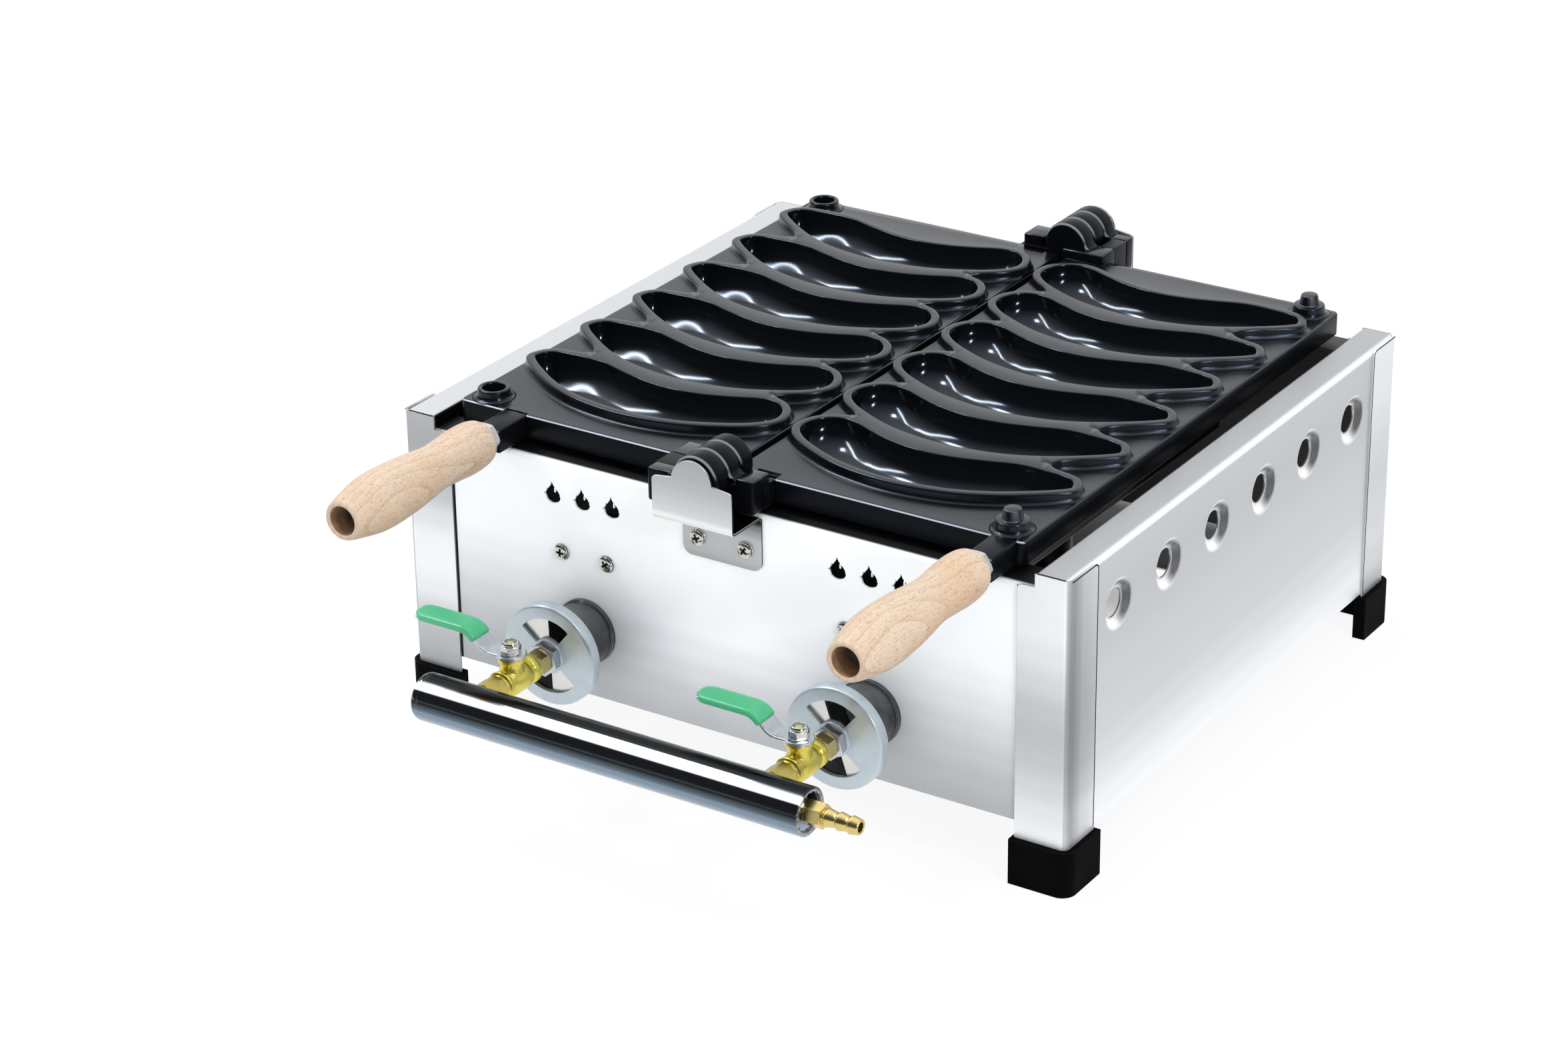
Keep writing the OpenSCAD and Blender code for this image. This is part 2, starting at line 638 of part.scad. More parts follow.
// Cavity and the casting below it: the section is half an ellipse
module cavity_cut() {
    d = cavity_depth - closed_gap / 2;
    ring_stack(concat(
        [for (a = [14, 40, 64]) moon_ring(0, sin(a), rim_z - d * cos(a), 42)],
        [moon_ring(0, 1, rim_z - d * 0.14, 42), moon_ring(0.4, 1, rim_z + e, 42)]));
}
module cavity_shell() {
    d = cavity_depth + cavity_wall - closed_gap / 2;
    ring_stack([for (a = [16, 46, 78]) moon_ring(cavity_wall, sin(a), rim_z - d * cos(a), 21)]);
}
// Round bar on the hinge axis, from y0 inwards
module on_axis(y0, length, r)
    translate([0, y0, axis_z]) rotate([90, 0, 0]) cylinder(h = length, r = r);
function knuckle_at(k) = knuckle_y0 - k * knuckle_step;
// Lugs and knuckles at one end: two knuckles where outer is true, or else the middle one
module hinge_end(y_edge, lug_w, outer) {
    difference() {
        union() {
            translate([lug_x0, y_edge - 8, plate_z])
                cube([lug_w - lug_x0, (outer ? lug_y1 : knuckle_at(1) - 1.2) - y_edge + 8,
                      (outer ? rim_z : surface_z) - plate_z]);
            if (!outer) for (c = [[lug_x0, knuckle_at(2) + 1], [lug_step_x, knuckle_at(2) - 5.5]])
                translate([c[0], c[1], plate_z])
                cube([lug_w - c[0], knuckle_at(1) - 1.2 - c[1], rim_z - plate_z]);
        }
        if (outer) on_axis(knuckle_at(0) - knuckle_l, knuckle_l + 2 * knuckle_gap, knuckle_r + 0.4);
        else on_axis(knuckle_at(2) + knuckle_gap, knuckle_l + knuckle_gap + 12, knuckle_r + 0.4);
    }
    for (k = outer ? [0, 2] : [1]) on_axis(knuckle_at(k), knuckle_l, knuckle_r);
}
module plate(sx) color([0.09, 0.09, 0.1]) placed() side(sx) {
    lug_w = sx < 0 ? lug_w_left : lug_w_right;
    pins = [[pin_reach, -(plate_front - pin_inset_front)], [pin_reach, plate_rear - pin_inset_rear]];
    handle_x = sx < 0 ? grip_x : grip_x_right;
    difference() {
        union() {
            difference() {
                translate([0, 0, plate_z]) linear_extrude(plate_t)
                    rounded_box(plate_x0, -plate_front, plate_x1, plate_rear, plate_corner_r);
                translate([0, 0, plate_z - e]) linear_extrude(plate_hollow + e)
                    rounded_box(plate_x0 + skirt_t, -plate_front + skirt_t,
                                plate_x1 - skirt_t, plate_rear - skirt_t, plate_corner_r);
                // Room for the other plate's inner knuckle
                end(-sx) on_axis(knuckle_at(2) + e, knuckle_l + knuckle_gap + e, knuckle_r + 0.4);
            }
            translate([0, 0, surface_z - e]) linear_extrude(rim_z - surface_z + e) rim_drawing();
            for (i = [0:cavity_n - 1]) row(i) cavity_shell();
            end(sx) hinge_end(sx < 0 ? plate_front : plate_rear, lug_w, true);
            end(-sx) hinge_end(sx < 0 ? plate_rear : plate_front, lug_w, false);
            // Lug of the handle
            translate([handle_x - handle_lug_w / 2, -handle_lug_y, plate_z])
                cube([handle_lug_w, handle_lug_l + skirt_t - e, plate_t]);
            // Resting pads over the ledges
            for (s = [-1, 1]) end(s)
                translate([plate_x1 - pad_inset - pad_l,
                           (s < 0 ? plate_front : plate_rear) - skirt_t,
                           ledge_z + rest_gap])
                cube([pad_l, skirt_t - e, plate_rise - rest_gap + e]);
            for (p = pins) translate([p[0], p[1], surface_z - e]) {
                cylinder(h = rim_z - surface_z + e, r = ring_r);
                if (sx > 0) translate([0, 0, rim_z - surface_z + e - 0.01])
                    cylinder(h = pin_h + 0.01, r1 = pin_r, r2 = pin_r * 0.75);
            }
        }
        for (i = [0:cavity_n - 1]) row(i) cavity_cut();
        if (sx < 0) for (p = pins) translate([p[0], p[1], rim_z - ring_hole_depth])
            cylinder(h = ring_hole_depth + e, r = ring_hole_r);
        for (s = [-1, 1]) end(s)
            on_axis(bracket_y + e, hinge_pin_l + e + loose, hinge_pin_r + hinge_fit);
        translate([handle_x, 0, grip_z]) forward(handle_lug_y - handle_lug_l + 3)
            cylinder(h = handle_lug_l, r = rod_r);
    }
}

// Handles: a rod screwed into the plate's lug, a nut, and a turned wooden grip on it
module at_handle(sx)
    placed() translate([sx < 0 ? -grip_x : grip_x_right, 0, grip_z]) children();
module handle_rod(sx) color("silver") at_handle(sx) forward(rod_y0)
    cylinder(h = rod_y1 - rod_y0, r = rod_r);
module bored_hex(af, h, r) difference() {
    hex(af, h);
    translate([0, 0, -e]) cylinder(h = h + 2 * e, r = r);
}
module lug_nut(sx) color("silver") at_handle(sx) forward(handle_lug_y) rotate(30)
    bored_hex(lug_nut_af, lug_nut_t, rod_r);
module grip_nut(sx) color("silver") at_handle(sx) forward(front_reach - grip_bore_depth)
    bored_hex(10, 5, rod_r);
// Radius of a grip at a share of its length from the plate's end
GRIP = [[0, 0.56], [0.012, 0.7], [0.035, 0.79], [0.08, 0.845], [0.15, 0.862], [0.24, 0.82],
        [0.335, 0.78], [0.41, 0.82], [0.485, 0.888], [0.58, 0.955], [0.69, 0.998], [0.755, 1],
        [0.8, 0.982], [0.85, 0.925], [0.92, 0.82], [0.97, 0.735], [0.99, 0.69], [1, 0.62]];
module grip(sx) color("burlywood") at_handle(sx) forward(grip_y0) difference() {
    rotate_extrude() polygon(concat([[0, 0]],
        [for (p = GRIP) [grip_r * p[1], grip_l * p[0]]], [[0, grip_l]]));
    translate([0, 0, -e]) cylinder(h = grip_l, r = rod_r);
    translate([0, 0, grip_l - grip_bore_depth]) cylinder(h = grip_bore_depth + e, r = grip_bore_r);
}

// Burners: neck, mixing tube, riser and slotted bar in one casting
module bar_drawing(inset) {
    w = bar_w / 2 - inset;
    h = bar_h - inset;
    polygon([[-w, inset], [w, inset], [w, h * 0.6], [w * 0.55, h], [-w * 0.55, h], [-w, h * 0.6]]);
}
module neck_drawing(inset) {
    // Radius, and distance forward from the middle of the frame
    y = [0, taper_y - 20, taper_y, neck_front - 4, neck_front];
    r = [tube_r, tube_r, neck_r, neck_r, neck_flare_r];
    polygon(concat([[0, y[0]]], [for (k = [0:4]) [r[k] - inset, y[k]]], [[0, y[4]]]));
}
module burner(sx) color([0.3, 0.3, 0.32]) placed() side(sx) translate([burner_x, 0, 0]) {
    difference() {
        union() {
            translate([0, 0, burner_z]) forward(0) {
                rotate_extrude() neck_drawing(0);
                translate([0, 0, panel_y]) cylinder(h = 2.5, r = collar_r);
            }
            translate([0, 0, burner_z]) sphere(tube_r);
            translate([0, 0, burner_z]) cylinder(h = bar_z0 + 1 - burner_z, r = tube_r);
            slab_y(-bar_y, bar_y) translate([0, bar_z0]) bar_drawing(0);
            for (s = [-1, 1]) end(s)
                translate([-burner_screw_pitch / 2 - 5, bar_y - e, burner_screw_z - 6])
                cube([burner_screw_pitch + 10, panel_y - sheet_t - bar_y + e, 12]);
        }
        translate([0, 0, burner_z]) {
            forward(0) {
                rotate_extrude() neck_drawing(neck_wall);
                translate([0, 0, neck_front - 0.01])
                    cylinder(h = e, r = neck_flare_r - neck_wall);
            }
            sphere(tube_r - neck_wall);
            cylinder(h = bar_z0 + 6 - burner_z, r = tube_r - neck_wall);
        }
        slab_y(-bar_y + 4, bar_y - 4) translate([0, bar_z0]) bar_drawing(3);
        slots = floor((bar_y - 14) / slot_pitch);
        for (k = [-slots:slots])
            translate([-bar_w * 0.36, k * slot_pitch - slot_w / 2, bar_z0 + bar_h - 5.5])
            cube([bar_w * 0.72, slot_w, 8]);
        for (s = [-1, 1], k = [-0.5, 0.5]) end(s)
            translate([k * burner_screw_pitch, panel_y - sheet_t + e, burner_screw_z])
            rotate([90, 0, 0]) cylinder(h = 8.5 + e, r = screw_r);
    }
}

// Air inlet: a fixed plate on the neck and a shutter that turns in front of it
module at_burner(sx) placed() translate([sx * burner_x, 0, burner_z]) children();
module disc_round(r, h, bore) linear_extrude(h) difference() {
    circle(r);
    circle(bore);
}
module neck_plate(sx) color("silver") at_burner(sx) forward(neck_front) difference() {
    linear_extrude(2) difference() {
        circle(shutter_r - shutter_wall - 0.5);
        circle(nozzle_r);
        windows(sx < 0 ? port_a0_left : port_a0_right, port_a);
    }
}
module air_shutter(sx) color("silver") at_burner(sx) forward(shutter_y) {
    bore = nozzle_r + shutter_fit;
    translate([0, 0, -shutter_wall]) linear_extrude(shutter_wall) difference() {
        circle(shutter_r);
        circle(bore);
        windows(window_a0, window_a);
    }
    translate([0, 0, -shutter_rim]) disc_round(shutter_r, shutter_rim - shutter_wall,
                                               shutter_r - shutter_wall);
    disc_round(shutter_hub_r, shutter_hub_h, bore);
}
module shutter_nut(sx) color("silver") at_burner(sx) forward(nut_y0)
    bored_hex(shutter_nut_af, shutter_nut_t, nozzle_r);
module nozzle(sx) color("goldenrod") at_burner(sx) difference() {
    union() {
        forward(nozzle_y0) cylinder(h = valve_y0 + nozzle_depth - nozzle_y0, r = nozzle_r);
        forward(nozzle_hex_y0) hex(nozzle_af, valve_y0 - nozzle_hex_y0);
    }
    forward(nozzle_y0 - e) cylinder(h = valve_y0 + nozzle_depth - nozzle_y0 + 2 * e, r = 1.2);
}

// Ball valves with a stem that turns about +Z
module valve_body(sx) color("gold") at_burner(sx) difference() {
    union() {
        forward(valve_y0) cylinder(h = valve_l - 11, r = valve_r);
        forward(valve_y1 - 12) hex(valve_af, 12);
        forward(valve_y1 - e) cylinder(h = stub_l + e, r = nozzle_r);
        translate([0, -stem_y, 0]) cylinder(h = valve_boss_h, r = valve_boss_r);
        // Stop tab behind the lever's washer
        translate([-2.5, -stem_y + washer_r + 0.8, valve_r - 2]) cube([5, 2, 13]);
    }
    forward(valve_y0 - e) cylinder(h = nozzle_depth + e, r = nozzle_r);
    forward(valve_y0 + 1) cylinder(h = valve_l + stub_l, r = 3.8);
    forward(stem_y - ball_r - 0.5) cylinder(h = 2 * ball_r + 1, r = ball_r + stem_fit);
    translate([0, -stem_y, 0]) cylinder(h = valve_boss_h + e, r = stem_r + stem_fit);
}
module at_stem(sx) at_burner(sx) translate([0, -stem_y, 0]) children();
module valve_stem(sx) color("goldenrod") at_stem(sx) difference() {
    union() {
        sphere(ball_r);
        cylinder(h = stem_top, r = stem_r);
    }
    translate([-2 * ball_r, 0, 0]) rotate([0, 90, 0]) cylinder(h = 4 * ball_r, r = ball_r * 0.55);
}
// Levers reach towards -X: flat at the stem, then a ramp, then flat again under the sleeve
module lever_bar()
    translate([0, lever_w / 2, 0]) rotate([90, 0, 0]) linear_extrude(lever_w)
        strip(lever_line, 0, lever_t);
module at_lever(sx)
    at_stem(sx) mirror([1, 0, 0]) translate([0, 0, valve_boss_h + loose]) children();
module valve_lever(sx) color("silver") at_lever(sx) difference() {
    union() {
        cylinder(h = lever_t, r = washer_r);
        lever_bar();
    }
    translate([0, 0, -e]) cylinder(h = lever_t + 2 * e, r = stem_r);
}
module lever_sleeve(sx) color("mediumseagreen") at_lever(sx) difference() {
    w = lever_w + 2 * sleeve_wall;
    mid = (lever_line[1] + lever_line[2]) / 2;
    last = [lever_l, lever_rise];
    translate([0, w / 2, 0]) rotate([90, 0, 0]) linear_extrude(w)
        strip([mid, lever_line[2], last], -sleeve_wall, lever_t + sleeve_wall);
    lever_bar();
    for (s = [-1, 1]) end(s) translate([lever_l, w / 2, -5]) rotate(180)
        linear_extrude(lever_rise + 12) corner_waste(lever_w * 0.42);
}
module stem_nut(sx) color("silver") at_lever(sx) translate([0, 0, lever_t])
    bored_hex(stem_nut_af, stem_nut_h, stem_r);

// Manifold: a closed pipe across the front with a hose barb at its right end
module at_manifold(x) placed() translate([x, -manifold_y, burner_z]) rotate([0, 90, 0]) children();
module manifold() color("lightsteelblue") difference() {
    at_manifold(-manifold_left) difference() {
        length = manifold_left + manifold_right;
        bore = manifold_r - manifold_wall;
        cylinder(h = length, r = manifold_r);
        translate([0, 0, plug_t]) cylinder(h = length - 2 * plug_t - recess, r = bore);
        translate([0, 0, length - recess]) cylinder(h = recess + e, r = bore);
        translate([0, 0, length - recess - plug_t - e]) cylinder(h = plug_t + 2 * e, r = 4);
    }
    for (sx = [-1, 1]) at_burner(sx) forward(valve_y1 - e)
        cylinder(h = stub_l + 3 * e, r = nozzle_r);
}
module hose_barb() color("gold") at_manifold(manifold_right - recess) difference() {
    ridge = barb_l / 3;
    hex_l = barb_hex_l + recess;
    union() {
        translate([0, 0, -plug_t - 1]) cylinder(h = plug_t + 2, r = 4);
        hex(barb_af, hex_l);
        rotate_extrude() polygon(concat([[0, hex_l - e], [barb_r * 0.86, hex_l - e]],
            [for (k = [0:2]) each [[barb_r * (k == 0 ? 0.86 : 0.8), hex_l + ridge * k],
                                   [barb_r, hex_l + ridge * (k + 0.25)],
                                   [barb_r * 0.8, hex_l + ridge * (k + 1)]]],
            [[0, hex_l + barb_l]]));
    }
    translate([0, 0, -plug_t - 2]) cylinder(h = plug_t + hex_l + barb_l + 4, r = barb_bore_r);
}

side_panel(-1);  // side_panel_left
side_panel(1);  // side_panel_right
post(-1, -1);  // post_front_left
post(1, -1);  // post_front_right
post(-1, 1);  // post_rear_left
post(1, 1);  // post_rear_right
foot(-1, -1);  // foot_front_left
foot(1, -1);  // foot_front_right
foot(-1, 1);  // foot_rear_left
foot(1, 1);  // foot_rear_right
end_panel(-1);  // front_panel
end_panel(1);  // back_panel
bracket(-1);  // bracket_front
bracket(1);  // bracket_rear
bracket_screw(-1, -1);  // bracket_screw_front_left
bracket_screw(-1, 1);  // bracket_screw_front_right
bracket_screw(1, -1);  // bracket_screw_rear_left
bracket_screw(1, 1);  // bracket_screw_rear_right
hinge_pin(-1);  // hinge_pin_front
hinge_pin(1);  // hinge_pin_rear
burner_screw(-1, 0);  // burner_screw_front_1
burner_screw(-1, 1);  // burner_screw_front_2
burner_screw(-1, 2);  // burner_screw_front_3
burner_screw(-1, 3);  // burner_screw_front_4
burner_screw(1, 0);  // burner_screw_rear_1
burner_screw(1, 1);  // burner_screw_rear_2
burner_screw(1, 2);  // burner_screw_rear_3
burner_screw(1, 3);  // burner_screw_rear_4
plate(-1);  // plate_left
plate(1);  // plate_right
handle_rod(-1);  // handle_rod_left
handle_rod(1);  // handle_rod_right
lug_nut(-1);  // lug_nut_left
lug_nut(1);  // lug_nut_right
grip(-1);  // grip_left
grip(1);  // grip_right
grip_nut(-1);  // grip_nut_left
grip_nut(1);  // grip_nut_right
burner(-1);  // burner_left
burner(1);  // burner_right
neck_plate(-1);  // neck_plate_left
neck_plate(1);  // neck_plate_right
air_shutter(-1);  // air_shutter_left
air_shutter(1);  // air_shutter_right
shutter_nut(-1);  // shutter_nut_left
shutter_nut(1);  // shutter_nut_right
nozzle(-1);  // nozzle_left
nozzle(1);  // nozzle_right
valve_body(-1);  // valve_body_left
valve_body(1);  // valve_body_right
valve_stem(-1);  // valve_stem_left
valve_stem(1);  // valve_stem_right
valve_lever(-1);  // valve_lever_left
valve_lever(1);  // valve_lever_right
lever_sleeve(-1);  // lever_sleeve_left
lever_sleeve(1);  // lever_sleeve_right
stem_nut(-1);  // stem_nut_left
stem_nut(1);  // stem_nut_right
manifold();
hose_barb();
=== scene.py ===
import math

import bpy
import bmesh
import numpy as np
from mathutils import Matrix, Vector
from mathutils.geometry import tessellate_polygon


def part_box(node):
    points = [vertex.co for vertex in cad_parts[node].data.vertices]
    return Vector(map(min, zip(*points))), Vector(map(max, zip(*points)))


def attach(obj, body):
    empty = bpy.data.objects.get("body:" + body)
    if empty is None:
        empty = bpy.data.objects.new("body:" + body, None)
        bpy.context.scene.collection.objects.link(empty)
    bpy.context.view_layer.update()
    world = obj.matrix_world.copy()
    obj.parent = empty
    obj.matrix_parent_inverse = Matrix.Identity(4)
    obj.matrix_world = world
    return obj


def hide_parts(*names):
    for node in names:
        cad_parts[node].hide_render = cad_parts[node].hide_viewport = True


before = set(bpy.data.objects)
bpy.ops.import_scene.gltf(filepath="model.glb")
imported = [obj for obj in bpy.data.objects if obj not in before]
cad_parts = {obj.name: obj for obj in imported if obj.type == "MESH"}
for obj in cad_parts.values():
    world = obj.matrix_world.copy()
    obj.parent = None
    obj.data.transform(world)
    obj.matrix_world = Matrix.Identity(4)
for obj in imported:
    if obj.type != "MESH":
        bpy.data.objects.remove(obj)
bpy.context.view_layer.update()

MM = 0.001
# The frame's middle lies this far behind the origin, in mm
MIDDLE_Y = 56.744
SIDES = {"left": -1, "right": 1}
# Way to the brightest part of the sky that glossy surfaces see
BRIGHT_SKY = (-0.2, 0.69, 0.695)
# Places that several pieces share, in mm from the frame's middle and from the floor
PANEL_Y = 187.856
SHEET = 1.2
LEDGE_Z = 173.0
BEND_Z = 170.5
PIPE_Y = -296.006
PIPE_R = 13.25
BURNER_X = 91.0
BURNER_Z = 75.5
STEM_Y = -257.056
LUG_Y = -204.644


# Camera, floor and light

def photo_camera():
    """Camera in front of the right side, looking down at the hinge; fitted to the photo's edges."""
    data = bpy.data.cameras.new("photo_camera")
    data.sensor_width = 36.0
    data.lens = 94.264
    data.clip_start = 0.1
    data.clip_end = 50.0
    camera = bpy.data.objects.new("photo_camera", data)
    right = Vector((0.839760, 0.542803, -0.012937))
    up = Vector((-0.220792, 0.363157, 0.905189))
    back = Vector((0.496038, -0.757286, 0.424812))
    turn = Matrix((right, up, back)).transposed().to_4x4()
    camera.matrix_world = Matrix.Translation((1.09922, -1.75057, 1.08039)) @ turn
    bpy.context.scene.collection.objects.link(camera)
    bpy.context.scene.camera = camera


def soft_lamp(name, place, aim, size, power):
    """Rectangular area lamp at place, turned towards aim."""
    data = bpy.data.lights.new(name, "AREA")
    data.shape = "RECTANGLE"
    data.size = size[0]
    data.size_y = size[1]
    data.energy = power
    lamp = bpy.data.objects.new(name, data)
    lamp.location = place
    direction = aim - place
    lamp.rotation_euler = direction.to_track_quat("-Z", "Y").to_euler()
    bpy.context.scene.collection.objects.link(lamp)


def link(tree, source, target):
    """Joins an output socket to an input socket."""
    tree.links.new(source, target)


def add(tree, kind, **values):
    """New node with the given settings."""
    node = tree.nodes.new(kind)
    for key, value in values.items():
        setattr(node, key, value)
    return node


def calc(tree, operation, *values):
    """Output of a Math node; each value is a socket or a number."""
    node = add(tree, "ShaderNodeMath", operation=operation)
    for socket, value in zip(node.inputs, values):
        if isinstance(value, bpy.types.NodeSocket):
            link(tree, value, socket)
        else:
            socket.default_value = value
    return node.outputs[0]


def product(tree, first, *others):
    """Product of several value sockets."""
    for other in others:
        first = calc(tree, "MULTIPLY", first, other)
    return first


def studio_world():
    """White for the camera and for glass; for gloss, bright behind the object and dim at the front."""
    world = bpy.data.worlds.new("studio")
    bpy.context.scene.world = world
    world.use_nodes = True
    tree = world.node_tree
    tree.nodes.clear()
    place = add(tree, "ShaderNodeTexCoord")
    towards = add(tree, "ShaderNodeVectorMath", operation="DOT_PRODUCT")
    towards.inputs[1].default_value = BRIGHT_SKY
    link(tree, place.outputs["Generated"], towards.inputs[0])
    sky = add(tree, "ShaderNodeValToRGB")
    sky.color_ramp.interpolation = "EASE"
    dim, bright = sky.color_ramp.elements
    dim.position = 0.52
    dim.color = (0.03, 0.032, 0.036, 1)
    bright.position = 0.93
    bright.color = (1.0, 1.0, 1.0, 1)
    link(tree, calc(tree, "MULTIPLY_ADD", towards.outputs["Value"], 0.5, 0.5), sky.inputs[0])
    gloss = add(tree, "ShaderNodeBackground")
    gloss.inputs[1].default_value = 1.25
    link(tree, sky.outputs[0], gloss.inputs[0])
    soft = add(tree, "ShaderNodeBackground")
    soft.inputs[0].default_value = (0.96, 0.98, 1.0, 1)
    soft.inputs[1].default_value = 0.98
    white = add(tree, "ShaderNodeBackground")
    path = add(tree, "ShaderNodeLightPath")
    lit = add(tree, "ShaderNodeMixShader")
    link(tree, path.outputs["Is Glossy Ray"], lit.inputs[0])
    link(tree, soft.outputs[0], lit.inputs[1])
    link(tree, gloss.outputs[0], lit.inputs[2])
    seen = add(tree, "ShaderNodeMixShader")
    through = calc(tree, "MAXIMUM", path.outputs["Is Camera Ray"], path.outputs["Is Transmission Ray"])
    link(tree, through, seen.inputs[0])
    link(tree, lit.outputs[0], seen.inputs[1])
    link(tree, white.outputs[0], seen.inputs[2])
    out = add(tree, "ShaderNodeOutputWorld")
    link(tree, seen.outputs[0], out.inputs[0])


def pale_floor():
    """Large flat sheet just under the feet that fades into the white background."""
    edge = np.array([-1.0, 1.0]) * 12.0
    x, y = np.meshgrid(edge, edge, indexing="ij")
    points = np.stack([x, y, np.full_like(x, -0.0004)], axis=-1)
    floor = sheet_object("floor", [surface(points)], floor_material())


# Meshes from grids of points

def surface(points, wrap_rows=False, wrap_columns=False, flip=False):
    """Quads between neighbouring points of a grid, points[i, j], in metres."""
    rows, columns = points.shape[:2]
    number = np.arange(rows * columns).reshape(rows, columns)
    if wrap_rows:
        number = np.vstack([number, number[:1]])
    if wrap_columns:
        number = np.hstack([number, number[:, :1]])
    quads = np.stack([number[:-1, :-1], number[1:, :-1], number[1:, 1:], number[:-1, 1:]], axis=-1)
    quads = quads.reshape(-1, 4)
    if flip:
        quads = quads[:, ::-1]
    return points.reshape(-1, 3), quads


def sheet_object(name, parts, *materials, sharp=35.0, merge=1e-6, outward=False):
    """One object from several grids of quads or triangles; equal points merge, soft faces are smooth."""
    starts = np.cumsum([0] + [len(p[0]) for p in parts[:-1]])
    points = np.concatenate([p[0] for p in parts]).astype(np.float32)
    faces = [p[1] + s for p, s in zip(parts, starts)]
    corners = np.concatenate([f.ravel() for f in faces]).astype(np.int32)
    sides = np.concatenate([np.full(len(f), f.shape[1]) for f in faces])
    slots = np.concatenate([np.full(len(p[1]), p[2] if len(p) > 2 else 0) for p in parts])
    mesh = bpy.data.meshes.new(name)
    mesh.vertices.add(len(points))
    mesh.vertices.foreach_set("co", points.ravel())
    mesh.loops.add(len(corners))
    mesh.loops.foreach_set("vertex_index", corners)
    mesh.polygons.add(len(sides))
    mesh.polygons.foreach_set("loop_start", (np.cumsum(sides) - sides).astype(np.int32))
    mesh.polygons.foreach_set("material_index", slots.astype(np.int32))
    mesh.update(calc_edges=True)
    work = bmesh.new()
    work.from_mesh(mesh)
    bmesh.ops.remove_doubles(work, verts=work.verts, dist=merge)
    bmesh.ops.dissolve_degenerate(work, edges=work.edges, dist=merge)
    if outward:
        bmesh.ops.recalc_face_normals(work, faces=work.faces)
    work.to_mesh(mesh)
    work.free()
    mesh.polygons.foreach_set("use_smooth", np.ones(len(mesh.polygons), dtype=bool))
    mesh.set_sharp_from_angle(angle=math.radians(sharp))
    for material in materials:
        mesh.materials.append(material)
    piece = bpy.data.objects.new(name, mesh)
    bpy.context.scene.collection.objects.link(piece)
    return piece


# Materials

def linear(colour):
    """Screen colour, each part 0 to 1, as the linear colour that the shaders use."""
    c = np.array(colour, float)
    dark = c / 12.92
    light = ((c + 0.055) / 1.055) ** 2.4
    return (*np.where(c <= 0.04045, dark, light), 1.0)


def node_group(name, inputs, outputs):
    """Empty shader group with float inputs (label, value) and outputs (label, kind)."""
    tree = bpy.data.node_groups.new(name, "ShaderNodeTree")
    for label, value in inputs:
        socket = tree.interface.new_socket(name=label, in_out="INPUT", socket_type="NodeSocketFloat")
        socket.default_value = value
    for label, kind in outputs:
        tree.interface.new_socket(name=label, in_out="OUTPUT", socket_type="NodeSocket" + kind)
    return tree, tree.nodes.new("NodeGroupInput"), tree.nodes.new("NodeGroupOutput")


def grain_group():
    """Fine noise for height and wide noise for tint and gloss, both in the piece's own space."""
    tree, into, out = node_group("surface_grain", [("Grain Scale", 1500.0), ("Cloud Scale", 22.0)],
                                 [("Grain", "Float"), ("Cloud", "Float")])
    place = add(tree, "ShaderNodeTexCoord")
    for label, result, detail in (("Grain Scale", "Grain", 3.0), ("Cloud Scale", "Cloud", 4.0)):
        noise = add(tree, "ShaderNodeTexNoise")
        noise.inputs["Detail"].default_value = detail
        link(tree, place.outputs["Object"], noise.inputs["Vector"])
        link(tree, into.outputs[label], noise.inputs["Scale"])
        link(tree, noise.outputs["Fac"], out.inputs[result])
    return tree


def edge_group():
    """Rounded normal at sharp edges, and a mask that is 1 on the edge and 0 on flat faces."""
    tree, into, out = node_group("rubbed_and_highlit_edges", [("Radius", 0.0005)],
                                 [("Edge", "Float"), ("Normal", "Vector")])
    soft = add(tree, "ShaderNodeBevel", samples=6)
    link(tree, into.outputs["Radius"], soft.inputs["Radius"])
    flat = add(tree, "ShaderNodeNewGeometry")
    turn = add(tree, "ShaderNodeVectorMath", operation="DOT_PRODUCT")
    link(tree, soft.outputs["Normal"], turn.inputs[0])
    link(tree, flat.outputs["Normal"], turn.inputs[1])
    mask = add(tree, "ShaderNodeMapRange")
    mask.inputs["From Min"].default_value = 0.995
    mask.inputs["From Max"].default_value = 0.9
    link(tree, turn.outputs["Value"], mask.inputs["Value"])
    link(tree, mask.outputs["Result"], out.inputs["Edge"])
    link(tree, soft.outputs["Normal"], out.inputs["Normal"])
    return tree


def use_group(tree, group, **values):
    """Places a shader group in a material with its own values; _ in a name stands for a space."""
    node = add(tree, "ShaderNodeGroup", node_tree=group)
    for key, value in values.items():
        node.inputs[key.replace("_", " ")].default_value = value
    return node


def ramp(tree, source, stops, low=0.0, high=1.0):
    """Colours over a value that runs from low to high; stops are (value, screen colour)."""
    node = add(tree, "ShaderNodeValToRGB")
    scaled = add(tree, "ShaderNodeMapRange")
    scaled.inputs["From Min"].default_value = low
    scaled.inputs["From Max"].default_value = high
    link(tree, source, scaled.inputs["Value"])
    link(tree, scaled.outputs["Result"], node.inputs[0])
    band = node.color_ramp
    band.interpolation = "EASE" if len(stops) > 2 else "LINEAR"
    while len(band.elements) < len(stops):
        band.elements.new(0.5)
    for element, (value, colour) in zip(band.elements, stops):
        element.position = (value - low) / (high - low)
        element.color = linear(colour)
    return node.outputs["Color"]


def mix(tree, factor, first, second, blend="MIX"):
    """Mix of two colours; each may be a socket or a screen colour, the factor a socket or number."""
    node = add(tree, "ShaderNodeMix", data_type="RGBA", blend_type=blend)
    for socket, value in ((node.inputs[0], factor), (node.inputs[6], first), (node.inputs[7], second)):
        if isinstance(value, bpy.types.NodeSocket):
            link(tree, value, socket)
        elif isinstance(value, tuple):
            socket.default_value = linear(value)
        else:
            socket.default_value = value
    return node.outputs[2]


